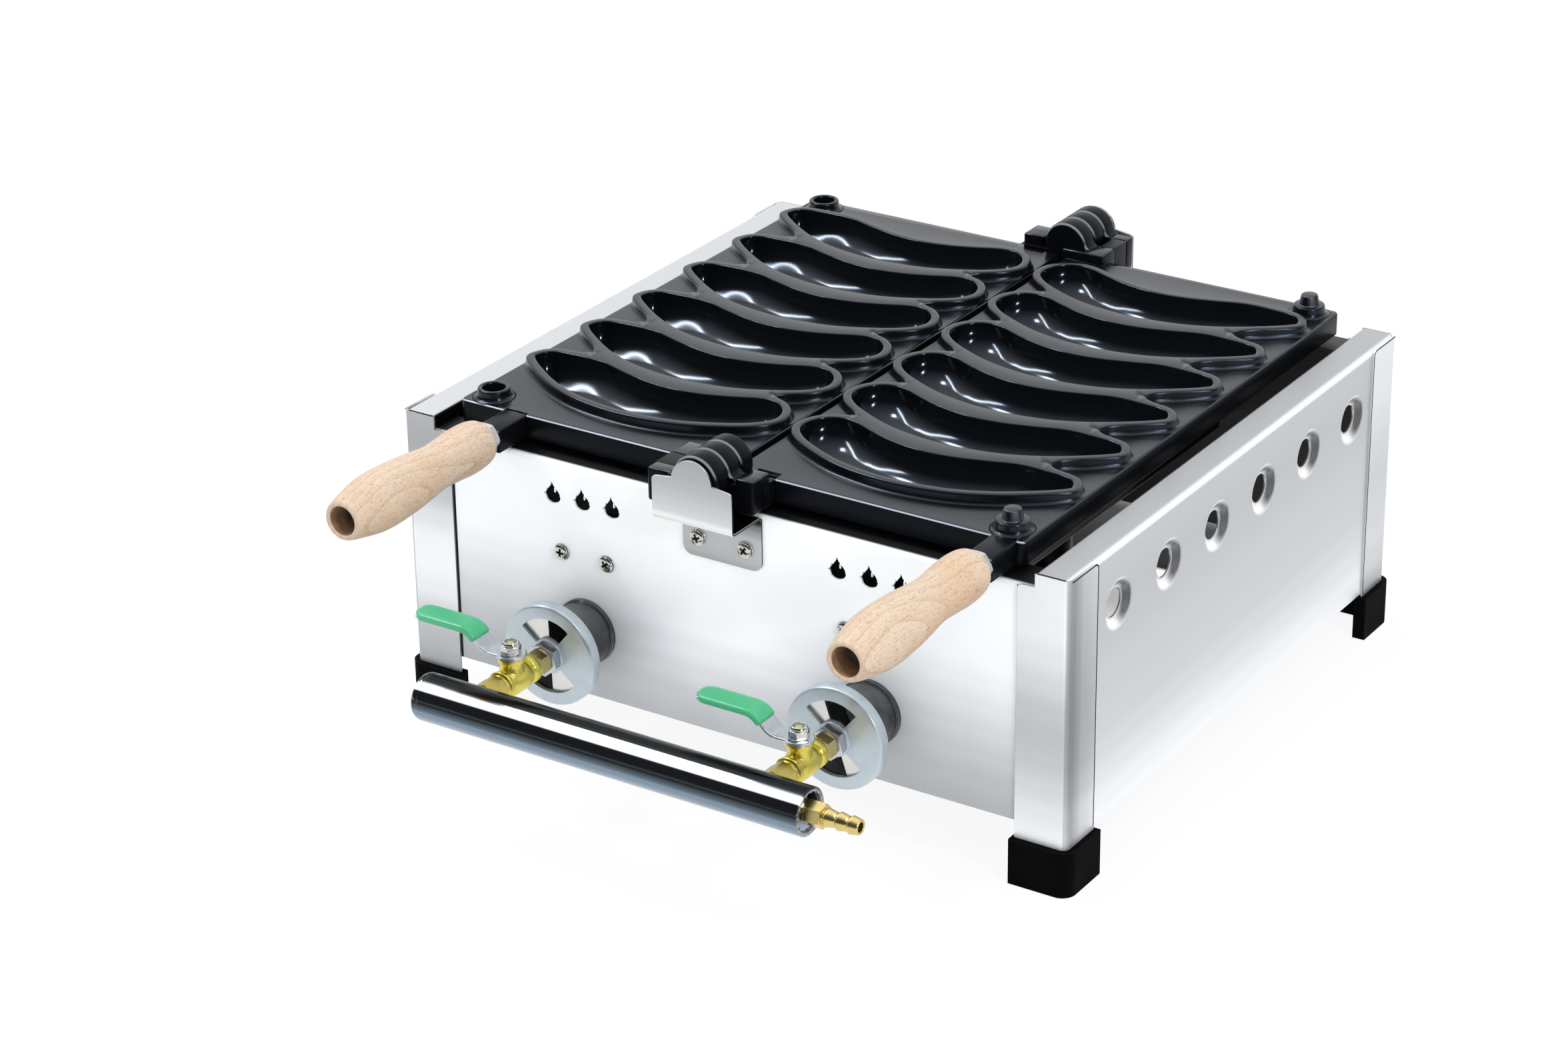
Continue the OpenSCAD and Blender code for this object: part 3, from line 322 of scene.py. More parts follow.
def span(tree, source, low, high, out_low, out_high):
    """Value scaled from low..high to out_low..out_high and held between them."""
    node = add(tree, "ShaderNodeMapRange")
    for key, value in (("From Min", low), ("From Max", high), ("To Min", out_low), ("To Max", out_high)):
        node.inputs[key].default_value = value
    link(tree, source, node.inputs["Value"])
    return node.outputs["Result"]


def coordinate(tree, axis="Z"):
    """Object coordinate along one axis, in mm."""
    place = add(tree, "ShaderNodeTexCoord")
    split = add(tree, "ShaderNodeSeparateXYZ")
    link(tree, place.outputs["Object"], split.inputs[0])
    return calc(tree, "MULTIPLY", split.outputs[axis], 1000.0)


def ways_of(tree, own=False):
    """Parts X, Y and Z of the face's normal; own gives the piece's, which turns with the joint."""
    turn = add(tree, "ShaderNodeTexCoord" if own else "ShaderNodeNewGeometry")
    ways = add(tree, "ShaderNodeSeparateXYZ")
    link(tree, turn.outputs["Normal"], ways.inputs[0])
    return ways.outputs


def bump(tree, shader, height, depth, normal=None):
    """Turns the shader's normal by a height map that is depth mm high."""
    node = add(tree, "ShaderNodeBump")
    node.inputs["Distance"].default_value = depth * MM
    link(tree, height, node.inputs["Height"])
    if normal is not None:
        link(tree, normal, node.inputs["Normal"])
    link(tree, node.outputs["Normal"], shader.inputs["Normal"])


def new_material(name, roughness, metallic=0.0, specular=0.5):
    """Material with a Principled shader; constants stay on the shader's own sockets."""
    material = bpy.data.materials.new(name)
    material.use_nodes = True
    tree = material.node_tree
    shader = tree.nodes["Principled BSDF"]
    shader.inputs["Roughness"].default_value = roughness
    shader.inputs["Metallic"].default_value = metallic
    shader.inputs["Specular IOR Level"].default_value = specular
    return material, tree, shader


def floor_material():
    """White floor: mostly its own white to the eye and in gloss, with a deep painted shadow under the frame
    in its colour.
    """
    material, tree, shader = new_material("floor_white", 0.9, specular=0.1)
    path = add(tree, "ShaderNodeLightPath")
    seen = calc(tree, "MAXIMUM", path.outputs["Is Camera Ray"], path.outputs["Is Glossy Ray"])
    open_floor = painted_shadow_mask(tree)
    share = product(tree, seen, span(tree, open_floor, 0.0, 1.0, 0.0, 0.92))
    # Painted shadow: near black colour under the frame, near white on the open floor
    link(tree, mix(tree, open_floor, (0.02, 0.02, 0.02), (0.98, 0.98, 0.98)), shader.inputs["Base Color"])
    white = add(tree, "ShaderNodeEmission")
    blend = add(tree, "ShaderNodeMixShader")
    link(tree, share, blend.inputs[0])
    link(tree, shader.outputs[0], blend.inputs[1])
    link(tree, white.outputs[0], blend.inputs[2])
    link(tree, blend.outputs[0], tree.nodes["Material Output"].inputs["Surface"])
    return material


def painted_shadow_mask(tree):
    """Mask of the painted shadow: 1 on the open floor and 0 under the frame, from edges along x and y in
    mm.

    The painted shadow fades behind the frame, and its right half is lighter, a painted light where
    light falls through the vents.
    """
    behind = [(225, 0.0), (250, 0.15), (300, 0.2), (325, 0.45), (350, 0.85), (365, 1.0)]
    under_right = [(110, 1.0), (140, 0.93), (155, 0.88), (190, 0.7), (207, 0.7), (214, 1.0), (236, 1.0),
                   (241, 0.0)]
    value = product(tree, span(tree, coordinate(tree, "X"), 0.0, 50.0, 0.0, 1.0),
                    ramp(tree, coordinate(tree, "Y"), grey_stops(under_right), 110, 245))
    for part in (span(tree, coordinate(tree, "X"), -215.0, -150.0, 1.0, 0.0),
                 span(tree, coordinate(tree, "X"), 90.0, 160.0, 0.0, 1.0),
                 span(tree, coordinate(tree, "Y"), -62.0, -40.0, 1.0, 0.0),
                 ramp(tree, coordinate(tree, "Y"), plain_stops(behind), 225, 365)):
        value = calc(tree, "MAXIMUM", value, part)
    return value


def finish(tree, shader, base, roughness, grain=0.0, cloud=0.08, edge=0.35, radius=0.4,
           grain_scale=1500.0, cloud_scale=22.0, bright=(1.0, 1.0, 1.0)):
    """Common surface of the hard pieces, on a base colour.

    Wide noise tints the colour and changes the roughness by the share cloud, edges are mixed
    towards bright by the share edge as rubbed wear and a painted highlight, and fine noise of height
    grain, in mm, roughens the normal.
    """
    noise = use_group(tree, GROUPS["grain"], Grain_Scale=grain_scale, Cloud_Scale=cloud_scale)
    wear_and_highlight = use_group(tree, GROUPS["edge"], Radius=radius * MM)
    tint = span(tree, noise.outputs["Cloud"], 0.3, 0.7, 1 - cloud, 1 + cloud * 0.5)
    toned = add(tree, "ShaderNodeVectorMath", operation="SCALE")
    link(tree, base, toned.inputs[0])
    link(tree, tint, toned.inputs["Scale"])
    # Rubbed wear and a painted highlight on the edges
    share = span(tree, wear_and_highlight.outputs["Edge"], 0.0, 1.0, 0.0, edge)
    link(tree, mix(tree, share, toned.outputs[0], bright), shader.inputs["Base Color"])
    link(tree, span(tree, noise.outputs["Cloud"], 0.3, 0.7, roughness * (1 - 2 * cloud),
                    roughness * (1 + 2 * cloud)), shader.inputs["Roughness"])
    if grain:
        bump(tree, shader, noise.outputs["Grain"], grain, wear_and_highlight.outputs["Normal"])
    else:
        link(tree, wear_and_highlight.outputs["Normal"], shader.inputs["Normal"])


def plain_colour(tree, colour):
    node = add(tree, "ShaderNodeRGB")
    node.outputs[0].default_value = linear(colour)
    return node.outputs[0]


def painted_glint_edges(tree):
    """Mask of painted glints: 1 on rounded edges that lean to the front, the border's, the knuckles' and
    the pins'.
    """
    ways = ways_of(tree, own=True)
    border = [(189.0, 0), (189.5, 0), (189.8, 0.9), (190.7, 0.9), (190.78, 0), (191, 0)]
    front = span(tree, coordinate(tree, "Y"), MIDDLE_Y - 178.0, MIDDLE_Y - 177.0, 1.0, 0.0)
    border = product(tree, ramp(tree, coordinate(tree), plain_stops(border), 189, 191), front)
    knuckles = span(tree, coordinate(tree), RIM_Z + 0.1, RIM_Z + 0.3, 0.0, 1.0)
    return product(tree, calc(tree, "MAXIMUM", knuckles, border),
                   span(tree, ways["Y"], -0.5, -0.25, 1.0, 0.0),
                   span(tree, ways["Y"], -0.95, -0.8, 0.0, 1.0),
                   span(tree, ways["Z"], 0.15, 0.35, 0.0, 1.0))


def plate_material(name, roughness, specular, glint_share):
    """Black satin coating on cast iron, with a painted glint on the edges that lean to the front; the last
    argument is its share.
    """
    material, tree, shader = new_material(name, roughness, specular=specular)
    shader.inputs["Specular Tint"].default_value = (0.66, 0.8, 1.0, 1.0)
    share = span(tree, painted_glint_edges(tree), 0.0, 1.0, 0.0, glint_share)
    # Painted glint colour on the edges that lean to the front
    base = mix(tree, share, (0.035, 0.038, 0.048), (0.85, 0.89, 0.95))
    finish(tree, shader, base, roughness, grain=0.0015, cloud=0.03, edge=0.0, radius=0.4,
           grain_scale=1300.0)
    return material


def painted_inside_shade(tree, axis):
    """Mask of painted shade: 1 on faces that look towards the frame's middle plane or down, 0 on the
    others.
    """
    ways = ways_of(tree)
    middle = MIDDLE_Y if axis == "Y" else 0.0
    side = calc(tree, "SIGN", calc(tree, "SUBTRACT", coordinate(tree, axis), middle))
    inward = product(tree, side, ways[axis])
    return span(tree, calc(tree, "MINIMUM", inward, ways["Z"]), -0.3, -0.7, 0.0, 1.0)


def painted_dish_light(tree, base):
    """Pressed dishes with painted light and shade: dark where the sheet leans forwards, bright where it
    leans up or down.
    """
    ways = ways_of(tree)
    # Only on the panel's outer wall, not on the strip along its top
    wall = span(tree, calc(tree, "ABSOLUTE", ways["X"]), 0.6, 0.8, 0.0, 1.0)
    light = product(tree, span(tree, calc(tree, "ABSOLUTE", ways["Z"]), 0.08, 0.3, 0.0, 1.0), wall)
    dark = product(tree, span(tree, ways["Y"], -0.05, -0.4, 0.0, 0.85), wall)
    lit = mix(tree, light, base, (1.0, 1.0, 1.0))
    return mix(tree, dark, lit, (0.22, 0.22, 0.23))


def plain_stops(stops):
    """Stops of (place, grey) as neutral colours."""
    return [(place, (grey, grey, grey)) for place, grey in stops]


def grey_stops(stops):
    """Stops of (place, grey) as slightly blue steel colours."""
    return [(place, (grey - 0.008, grey, min(grey + 0.012, 1.0))) for place, grey in stops]


def tones_over(tree, axis, stops):
    """Colours over a coordinate in mm, from stops of (place, colour) that also give its range."""
    return ramp(tree, coordinate(tree, axis), stops, stops[0][0], stops[-1][0])


def sheet_steel(name, stops, inner_axis=None, outer=None, flange=None, cross=None, roughness=0.42,
                metallic=0.8):
    """Brushed and polished sheet steel; stops give its tone over the height in mm.

    outer is the painted tone near a panel's ends, flange that of a front post's side, and cross
    multiplies the tone over y with painted shade. Faces that look inwards along inner_axis get a painted
    shade.
    """
    material, tree, shader = new_material(name, roughness, metallic)
    base = tones_over(tree, "Z", grey_stops(stops))
    if outer:
        away = calc(tree, "ABSOLUTE", coordinate(tree, "X"))
        base = mix(tree, span(tree, away, 20.0, 150.0, 0.0, 1.0), base,
                   tones_over(tree, "Z", grey_stops(outer)))
    if flange:
        behind_bend = span(tree, coordinate(tree, "Y"), -132.1, -131.3, 0.0, 1.0)
        base = mix(tree, behind_bend, base, tones_over(tree, "Z", grey_stops(flange)))
    if cross:
        base = mix(tree, 1.0, base, tones_over(tree, "Y", plain_stops(cross)), blend="MULTIPLY")
    if inner_axis == "X":
        base = painted_dish_light(tree, base)
    # Painted shade on faces that look inwards
    if inner_axis:
        base = mix(tree, painted_inside_shade(tree, inner_axis), base, (0.05, 0.05, 0.052))
    finish(tree, shader, base, roughness, grain=0.001, cloud=0.015, edge=0.12, radius=0.4,
           grain_scale=900.0, cloud_scale=9.0)
    return material


def bracket_material():
    """Sheet steel of the hinge brackets with painted light and shade: toned over the height, painted black
    on the shelf under the plate, painted dark on the cut edges.
    """
    material, tree, shader = new_material("bracket_steel", 0.42, metallic=0.8)
    # Painted light and shade over the height, with a painted highlight at the shelf's front bend
    stops = [(139, 0.75), (145, 0.82), (149, 0.83), (157, 0.82), (161, 0.7), (165, 0.55), (168, 0.16),
             (169.3, 0.05), (170.3, 0.05), (171, 1.0), (174, 1.0), (178, 0.87), (183, 0.83), (188, 0.79),
             (193, 0.755), (200, 0.72), (210, 0.69)]
    base = tones_over(tree, "Z", grey_stops(stops))
    ways = ways_of(tree)
    # Painted shade on the shelf under the plate
    shelf = product(tree, span(tree, ways["Z"], 0.6, 0.9, 0.0, 1.0),
                    span(tree, coordinate(tree), LEDGE_Z, LEDGE_Z + 1.0, 1.0, 0.0))
    base = mix(tree, shelf, base, (0.03, 0.03, 0.032))
    # Painted shade on the cut edges
    cut = span(tree, calc(tree, "ABSOLUTE", ways["X"]), 0.7, 0.9, 0.0, 1.0)
    base = mix(tree, cut, base, (0.16, 0.16, 0.17))
    finish(tree, shader, base, 0.42, grain=0.001, cloud=0.015, edge=0.12, radius=0.4, grain_scale=900.0)
    return material


def metal(name, colour, roughness, grain=0.004, cloud=0.1, edge=0.3, radius=0.3, cloud_scale=90.0,
          bright=(0.95, 0.96, 0.97), metallic=1.0):
    """Bare or plated metal of one colour with mottling and bright edges."""
    material, tree, shader = new_material(name, roughness, metallic)
    finish(tree, shader, plain_colour(tree, colour), roughness, grain, cloud, edge, radius,
           cloud_scale=cloud_scale, bright=bright)
    return material


def rubber_material():
    """Matt black rubber of the feet."""
    material, tree, shader = new_material("rubber_black", 0.7, specular=0.03)
    finish(tree, shader, plain_colour(tree, (0.02, 0.021, 0.025)), 0.7, grain=0.01, edge=0.04,
           radius=0.8, bright=(0.5, 0.5, 0.52))
    return material


def sleeve_material():
    """Glossy green dipped plastic with a faint orange-peel surface."""
    material, tree, shader = new_material("sleeve_green", 0.3)
    finish(tree, shader, plain_colour(tree, (0.26, 0.65, 0.46)), 0.3, grain=0.01, cloud=0.06, edge=0.18,
           radius=0.5, grain_scale=500.0, bright=(0.5, 0.88, 0.66))
    return material


def nylon_material():
    """Blue nylon ring of a lock nut."""
    material, tree, shader = new_material("nylon_blue", 0.4)
    finish(tree, shader, plain_colour(tree, (0.36, 0.5, 0.66)), 0.4, grain=0.01, edge=0.1)
    return material


def tape_material():
    """White sealing tape wound on the threads, with a rough, bumpy surface."""
    material, tree, shader = new_material("thread_tape", 0.45)
    finish(tree, shader, plain_colour(tree, (0.93, 0.93, 0.92)), 0.45, grain=0.12, cloud=0.1, edge=0.1,
           grain_scale=700.0)
    return material


# Painted reflections of the room on the chromed pipe, as colours over the angle round it
PAINTED_CHROME_REFLECTIONS = [
    (-180, (0.62, 0.68, 0.76)), (-150, (0.6, 0.66, 0.74)), (-120, (0.57, 0.62, 0.67)),
    (-108, (0.5, 0.57, 0.64)), (-101, (0.5, 0.57, 0.64)), (-93, (0.36, 0.41, 0.45)),
    (-86, (0.28, 0.32, 0.35)), (-78, (0.13, 0.145, 0.15)), (-75, (0.2, 0.21, 0.22)),
    (-71, (0.5, 0.52, 0.54)), (-52, (0.5, 0.52, 0.54)), (-47, (1.0, 1.0, 1.0)),
    (-31, (1.0, 1.0, 1.0)), (-27, (0.5, 0.52, 0.54)), (-23, (0.2, 0.22, 0.23)), (-18, (0.17, 0.19, 0.2)),
    (-10, (0.1, 0.11, 0.12)), (4, (0.06, 0.065, 0.07)), (14, (0.08, 0.085, 0.09)), (30, (0.4, 0.42, 0.44)),
    (180, (0.62, 0.68, 0.76))]


def chrome_material():
    """Chromed pipe along x: painted reflections over the angle round it, from its underside to its top.

    The angle runs from -180 under the pipe over -90 in front to 0 on top, so the painted bands lie
    as the room's reflections do.
    """
    material, tree, shader = new_material("chrome_pipe", 0.12, metallic=1.0)
    turn = calc(tree, "ARCTAN2", calc(tree, "SUBTRACT", coordinate(tree, "Y"), MIDDLE_Y + PIPE_Y),
                calc(tree, "SUBTRACT", coordinate(tree), BURNER_Z))
    degrees = calc(tree, "MULTIPLY", turn, 180 / math.pi)
    base = ramp(tree, degrees, PAINTED_CHROME_REFLECTIONS, -180.0, 180.0)
    finish(tree, shader, base, 0.12, grain=0.001, cloud=0.03, edge=0.3, radius=0.3, cloud_scale=30.0)
    # The white band is a painted reflection of a soft light; there the pipe is mostly not metal, so it
    # takes its light from all around
    bare = [(-180, 1.0), (-51, 1.0), (-48, 0.25), (-32, 0.25), (-28, 1.0), (180, 1.0)]
    link(tree, ramp(tree, degrees, plain_stops(bare), -180.0, 180.0), shader.inputs["Metallic"])
    return material


def beech_material(name, heart, slant):
    """Bare beech: pale tan, rings round a tilted heart line and short dark flecks along the grain.

    heart is the x and z of the tree's middle line in mm, and slant how far it leans along y.
    """
    material, tree, shader = new_material(name, 0.55, specular=0.3)
    place = add(tree, "ShaderNodeTexCoord")
    shift = add(tree, "ShaderNodeMapping")
    shift.inputs["Location"].default_value = (-heart[0] * MM, 0, -heart[1] * MM)
    shift.inputs["Rotation"].default_value = (slant[0], 0, slant[1])
    link(tree, place.outputs["Object"], shift.inputs["Vector"])
    # Rings: distance from the heart line, made uneven by a slow noise
    wave = add(tree, "ShaderNodeTexWave", wave_type="RINGS", rings_direction="Y", wave_profile="SAW")
    wave.inputs["Scale"].default_value = 70.0
    wave.inputs["Distortion"].default_value = 2.6
    wave.inputs["Detail"].default_value = 2.0
    wave.inputs["Detail Scale"].default_value = 0.25
    link(tree, shift.outputs[0], wave.inputs["Vector"])
    rings = ramp(tree, wave.outputs["Fac"], [(0.0, (0.79, 0.717, 0.637)), (0.75, (0.78, 0.698, 0.613)),
                                             (0.95, (0.755, 0.66, 0.565)), (1.0, (0.72, 0.61, 0.505))])
    # Flecks: noise squeezed across the grain, kept only where it is highest
    dashes = []
    for wide, long, low, high, share in ((2400.0, 420.0, 0.57, 0.68, 0.6), (1000.0, 150.0, 0.6, 0.72, 0.4)):
        thin = add(tree, "ShaderNodeMapping")
        thin.inputs["Scale"].default_value = (wide, long, wide)
        link(tree, place.outputs["Object"], thin.inputs["Vector"])
        fleck = add(tree, "ShaderNodeTexNoise")
        fleck.inputs["Scale"].default_value = 1.0
        fleck.inputs["Detail"].default_value = 1.0
        link(tree, thin.outputs[0], fleck.inputs["Vector"])
        dashes.append(span(tree, fleck.outputs["Fac"], low, high, 0.0, share))
    # Slow patches where the wood is redder
    cloud = use_group(tree, GROUPS["grain"], Grain_Scale=2500.0, Cloud_Scale=26.0)
    warm = mix(tree, span(tree, cloud.outputs["Cloud"], 0.5, 0.68, 0.0, 0.6), rings, (0.76, 0.63, 0.5))
    dotted = mix(tree, dashes[0], warm, (0.62, 0.45, 0.33))
    flecked = mix(tree, dashes[1], dotted, (0.66, 0.49, 0.37))
    # Painted shade: the underside is darker
    painted_underside_shade = span(tree, ways_of(tree, own=True)["Z"], 0.5, -0.7, 0.0, 1.0)
    shaded_wood = mix(tree, 1.0, flecked, (0.86, 0.85, 0.84), blend="MULTIPLY")
    link(tree, mix(tree, painted_underside_shade, flecked, shaded_wood), shader.inputs["Base Color"])
    link(tree, span(tree, fleck.outputs["Fac"], 0.4, 0.7, 0.5, 0.65), shader.inputs["Roughness"])
    bump(tree, shader, fleck.outputs["Fac"], 0.05)
    return material


def bored_material():
    """End grain and drilled wall of the beech, darker than its outside, with a fine grain."""
    material, tree, shader = new_material("bored_beech", 0.7, specular=0.2)
    noise = use_group(tree, GROUPS["grain"], Grain_Scale=2200.0, Cloud_Scale=150.0)
    base = mix(tree, span(tree, noise.outputs["Cloud"], 0.35, 0.65, 0.0, 1.0), (0.5, 0.38, 0.28),
               (0.64, 0.51, 0.39))
    link(tree, base, shader.inputs["Base Color"])
    bump(tree, shader, noise.outputs["Grain"], 0.05)
    return material


def burner_material():
    """Dark iron: mill scale with grey rubbed places outside the panel, painted near black shade inside it.
    """
    material, tree, shader = new_material("burner_iron", 0.32, metallic=0.9)
    noise = use_group(tree, GROUPS["grain"], Grain_Scale=600.0, Cloud_Scale=45.0)
    base = mix(tree, span(tree, noise.outputs["Cloud"], 0.35, 0.65, 0.0, 1.0), (0.3, 0.3, 0.31),
               (0.46, 0.46, 0.47))
    # Painted shade inside the panel
    inside = span(tree, coordinate(tree, "Y"), MIDDLE_Y - 188.0, MIDDLE_Y - 186.0, 0.0, 1.0)
    base = mix(tree, inside, base, (0.06, 0.06, 0.06))
    finish(tree, shader, base, 0.32, grain=0.012, cloud=0.1, edge=0.5, radius=0.5,
           bright=(0.75, 0.76, 0.78))
    return material


GROUPS = {"grain": grain_group(), "edge": edge_group()}


# Cast plates

# Cavity outline, from the hinge end (u) and behind the row's middle line (v), in mm
MOON = np.array([
    (162, 12), (157, 19.5), (143, 21.6), (125, 21.7), (108, 16.6), (90, 11.8), (71, 10.1),
    (52, 13), (36, 18.5), (22, 24.3), (11, 24.2), (3, 17), (0.5, 6), (7, -4), (22, -13.6),
    (46, -23.3), (76, -27.1), (106, -23.4), (129, -14.5), (148, -2.3), (160, 7.5)])
PITCH = 51.8
ROWS = 6
MIDDLE_ROW = (ROWS - 1) / 2
CAVITY_X = 8.1
PLATE_X = (2.0, 177.7)
PLATE_Y = (-179.644, 181.056)
PLATE_Z = 177.5
SURFACE_Z = 190.8
CEILING_Z = 185.8
RIM_Z = 196.45
RIM_W = 5.0
# A bowl's depth below its lip, the lip's radius and the wall's thickness
BOWL = 17.55
LIP = 0.8
WALL = 4.0
# Stands for a distance at which nothing is met
FAR = 99.0
AXIS_Z = 196.6
# Edges of the areas that the cells fill on top and under it; the plate's border runs round them
CELL_X = (3.0, 176.5)
CELL_Y = (-176.0, 176.0)
HOLLOW_X = (7.0, 172.7)
HOLLOW_Y = (-174.6, 175.9)
SKIRT = 5.0
KNUCKLE_Y = (213.556, 201.456, 189.356)
KNUCKLE_L = 11.7
KNUCKLE_R = 13.8
LUG_X = 0.5


def smooth_through(points, count, closed=True):
    """Curve through points: between two of them a cubic set by those two and their neighbours."""
    n = len(points)
    s = np.arange(count) * n / count if closed else np.linspace(0, n - 1, count)
    i = np.minimum(np.floor(s).astype(int), n - (1 if closed else 2))
    t = (s - i)[:, None]
    if closed:
        a, b, c, d = (points[(i + k) % n] for k in (-1, 0, 1, 2))
    else:
        a, b, c, d = (points[np.clip(i + k, 0, n - 1)] for k in (-1, 0, 1, 2))
    return (2 * b + (c - a) * t + (2 * a - 5 * b + 4 * c - d) * t ** 2
            + (3 * b - a - 3 * c + d) * t ** 3) / 2


def outward(curve):
    """Unit normals of a closed curve that runs anticlockwise, pointing out of it."""
    along = np.roll(curve, -1, axis=0) - np.roll(curve, 1, axis=0)
    along /= np.linalg.norm(along, axis=1)[:, None]
    return np.stack([along[:, 1], -along[:, 0]], axis=-1)


def middle_line(u):
    """Points of the cavity's deepest line that belong to the distances u along it."""
    w = 16.2 + 0.83 * u
    q = (w / 162 - 0.46) / 0.54
    return np.stack([w, 52.2 * (0.62 * q ** 2 - 0.14 * q ** 4 - 0.16)], axis=-1)


def distance_to(points, curve):
    """Shortest distance from each point to the points of a curve."""
    gap = points[..., None, :] - curve
    return np.sqrt((gap ** 2).sum(axis=-1).min(axis=-1))


def border_between_rows():
    """Height v, over x, of the line that lies equally far from two neighbouring cavities."""
    curve = smooth_through(MOON, 210)
    step = 0.5
    x = np.arange(0, 181, 2.0)
    v = np.arange(6, 44, step)
    grid = np.stack(np.meshgrid(x - CAVITY_X, v, indexing="ij"), axis=-1)
    lead = distance_to(grid, curve) - distance_to(grid, curve + (0, PITCH))
    k = (lead > 0).argmax(axis=1)
    row = np.arange(len(x))
    share = lead[row, k - 1] / (lead[row, k - 1] - lead[row, k])
    return x, v[k - 1] + share * step


def first_crossing(values, step):
    """Distance at which values, sampled along each line, first reach zero; large where never."""
    hit = values >= 0
    k = np.maximum(hit.argmax(axis=1), 1)
    row = np.arange(len(values))
    before = values[row, k - 1]
    after = values[row, k]
    distance = (k - 1 + before / (before - after)) * step
    return np.where(hit.any(axis=1), distance, FAR)


def cell_rays(row, border, x_range, y_range):
    """Lines from a cavity's outline outwards: start, way, rim width, length and end at the cell's edge.

    The rim follows the set of points 5 mm from the outlines, where the distances to two
    neighbouring cavities are blended, so that two rims meet in a rounded notch.
    """
    first = row == 0
    last = row == ROWS - 1
    y_range = [y - PITCH * (row - MIDDLE_ROW) for y in y_range]
    start = smooth_through(MOON, 168)
    way = outward(start)
    step = 0.25
    t = np.arange(0, 34, step)
    spots = start[:, None] + t[:, None] * way[:, None]
    curve = smooth_through(MOON, 252)
    other = np.full(spots.shape[:2], FAR)
    if not last:
        other = np.minimum(other, distance_to(spots, curve + (0, PITCH)))
    if not first:
        other = np.minimum(other, distance_to(spots, curve - (0, PITCH)))
    blend = np.interp(spots[..., 0], [30, 136], [10, 19])
    near = np.maximum(blend - np.abs(t - other), 0)
    rim = first_crossing(np.minimum(t, other) - near ** 2 / (4 * blend) - RIM_W, step)
    # Distance to the cell's edges: the plate's border, and the lines between the rows
    x = start[:, 0] + CAVITY_X
    y = start[:, 1]
    far = np.full(len(start), FAR)
    with np.errstate(divide="ignore"):
        for bound in x_range:
            d = (bound - x) / way[:, 0]
            far = np.where(d > 0, np.minimum(far, d), far)
        for bound, used in zip(y_range, (first, last)):
            d = (bound - y) / way[:, 1]
            far = np.where((d > 0) & used, np.minimum(far, d), far)
    across = np.interp(spots[..., 0] + CAVITY_X, *border)
    if not last:
        far = np.minimum(far, first_crossing(spots[..., 1] - across, step))
    if not first:
        far = np.minimum(far, first_crossing(across - PITCH - spots[..., 1], step))
    ends = start + far[:, None] * way
    upper = [y_range[1]] * 2 if last else np.interp(x_range, *border)
    lower = [y_range[0]] * 2 if first else np.interp(x_range, *border) - PITCH
    for bound, ups in zip(x_range, zip(lower, upper)):
        for corner in ups:
            spot = np.array((bound - CAVITY_X, corner))
            ends[distance_to(ends, spot[None]).argmin()] = spot
    return start, way, rim, far, ends


def rim_profile():
    """Section of a rim's outer edge: distance past the rim line and height over the rim's top."""
    turn = np.radians(np.linspace(0, 90, 5))
    foot = SURFACE_Z - RIM_Z
    top = np.stack([-1.3 + 1.3 * np.sin(turn), -1.3 * (1 - np.cos(turn))], axis=-1)
    fillet = np.stack([0.25 + 2.4 * (1 - np.cos(turn)), foot + 2.4 * (1 - np.sin(turn))], axis=-1)
    return np.concatenate([top, fillet])


# Rows of a cell's grid in the bowl and over its lip, and the last row that is glossy
BOWL_ROWS = 15
LIP_TURN = (22, 45, 68, 90)
LIP_ROW = BOWL_ROWS + len(LIP_TURN) - 1


def cavity_top(row, border):
    """Grid over one cell's upper face: half-ellipse bowl, lip, rim, fillet and flat surface."""
    start, way, rim, far, ends = cell_rays(row, border, CELL_X, CELL_Y)
    centre = middle_line(start[:, 0])
    turn = np.radians(np.linspace(0, 90, BOWL_ROWS))
    rows = [(centre + (start - centre) * np.sin(a), RIM_Z - LIP - BOWL * np.cos(a)) for a in turn]
    for a in np.radians(LIP_TURN):
        d = np.minimum(LIP * (1 - np.cos(a)), far)
        rows.append((start + d[:, None] * way, RIM_Z - LIP * (1 - np.sin(a))))
    profile = rim_profile()
    for q in profile[:, 0]:
        d = np.minimum(rim + q, far)
        z = RIM_Z + np.interp(d - rim, profile[:, 0], profile[:, 1])
        rows.append((start + d[:, None] * way, z))
    last_z = rows[-1][1]
    rows.append((ends, last_z))
    rows.append((ends, np.where(rim > far + 0.01, last_z, SURFACE_Z)))
    return stack_rows(rows, row)


def cavity_underside(row, border):
    """Grid under one cell: the bowl's outside, a wall below its inside, then the hollow's ceiling."""
    start, way, _, far, ends = cell_rays(row, border, HOLLOW_X, HOLLOW_Y)
    centre = middle_line(start[:, 0])
    shell = start + np.minimum(WALL, far)[:, None] * way
    depth = LIP + BOWL + WALL
    level = math.acos((RIM_Z - CEILING_Z) / depth)
    rows = [(centre + (shell - centre) * math.sin(a), RIM_Z - depth * math.cos(a))
            for a in np.linspace(0, level, 10)]
    rows.append((ends, CEILING_Z))
    return stack_rows(rows, row)


def raised(rows):
    """Grid of x, y, z from rows of plane points, each with one height or a height a point."""
    return np.array([np.column_stack([p, np.broadcast_to(z, len(p))]) for p, z in rows])


def stack_rows(rows, row):
    """Grid of a cell, moved to its row of the plate."""
    return raised(rows) + (CAVITY_X, PITCH * (row - MIDDLE_ROW), 0)


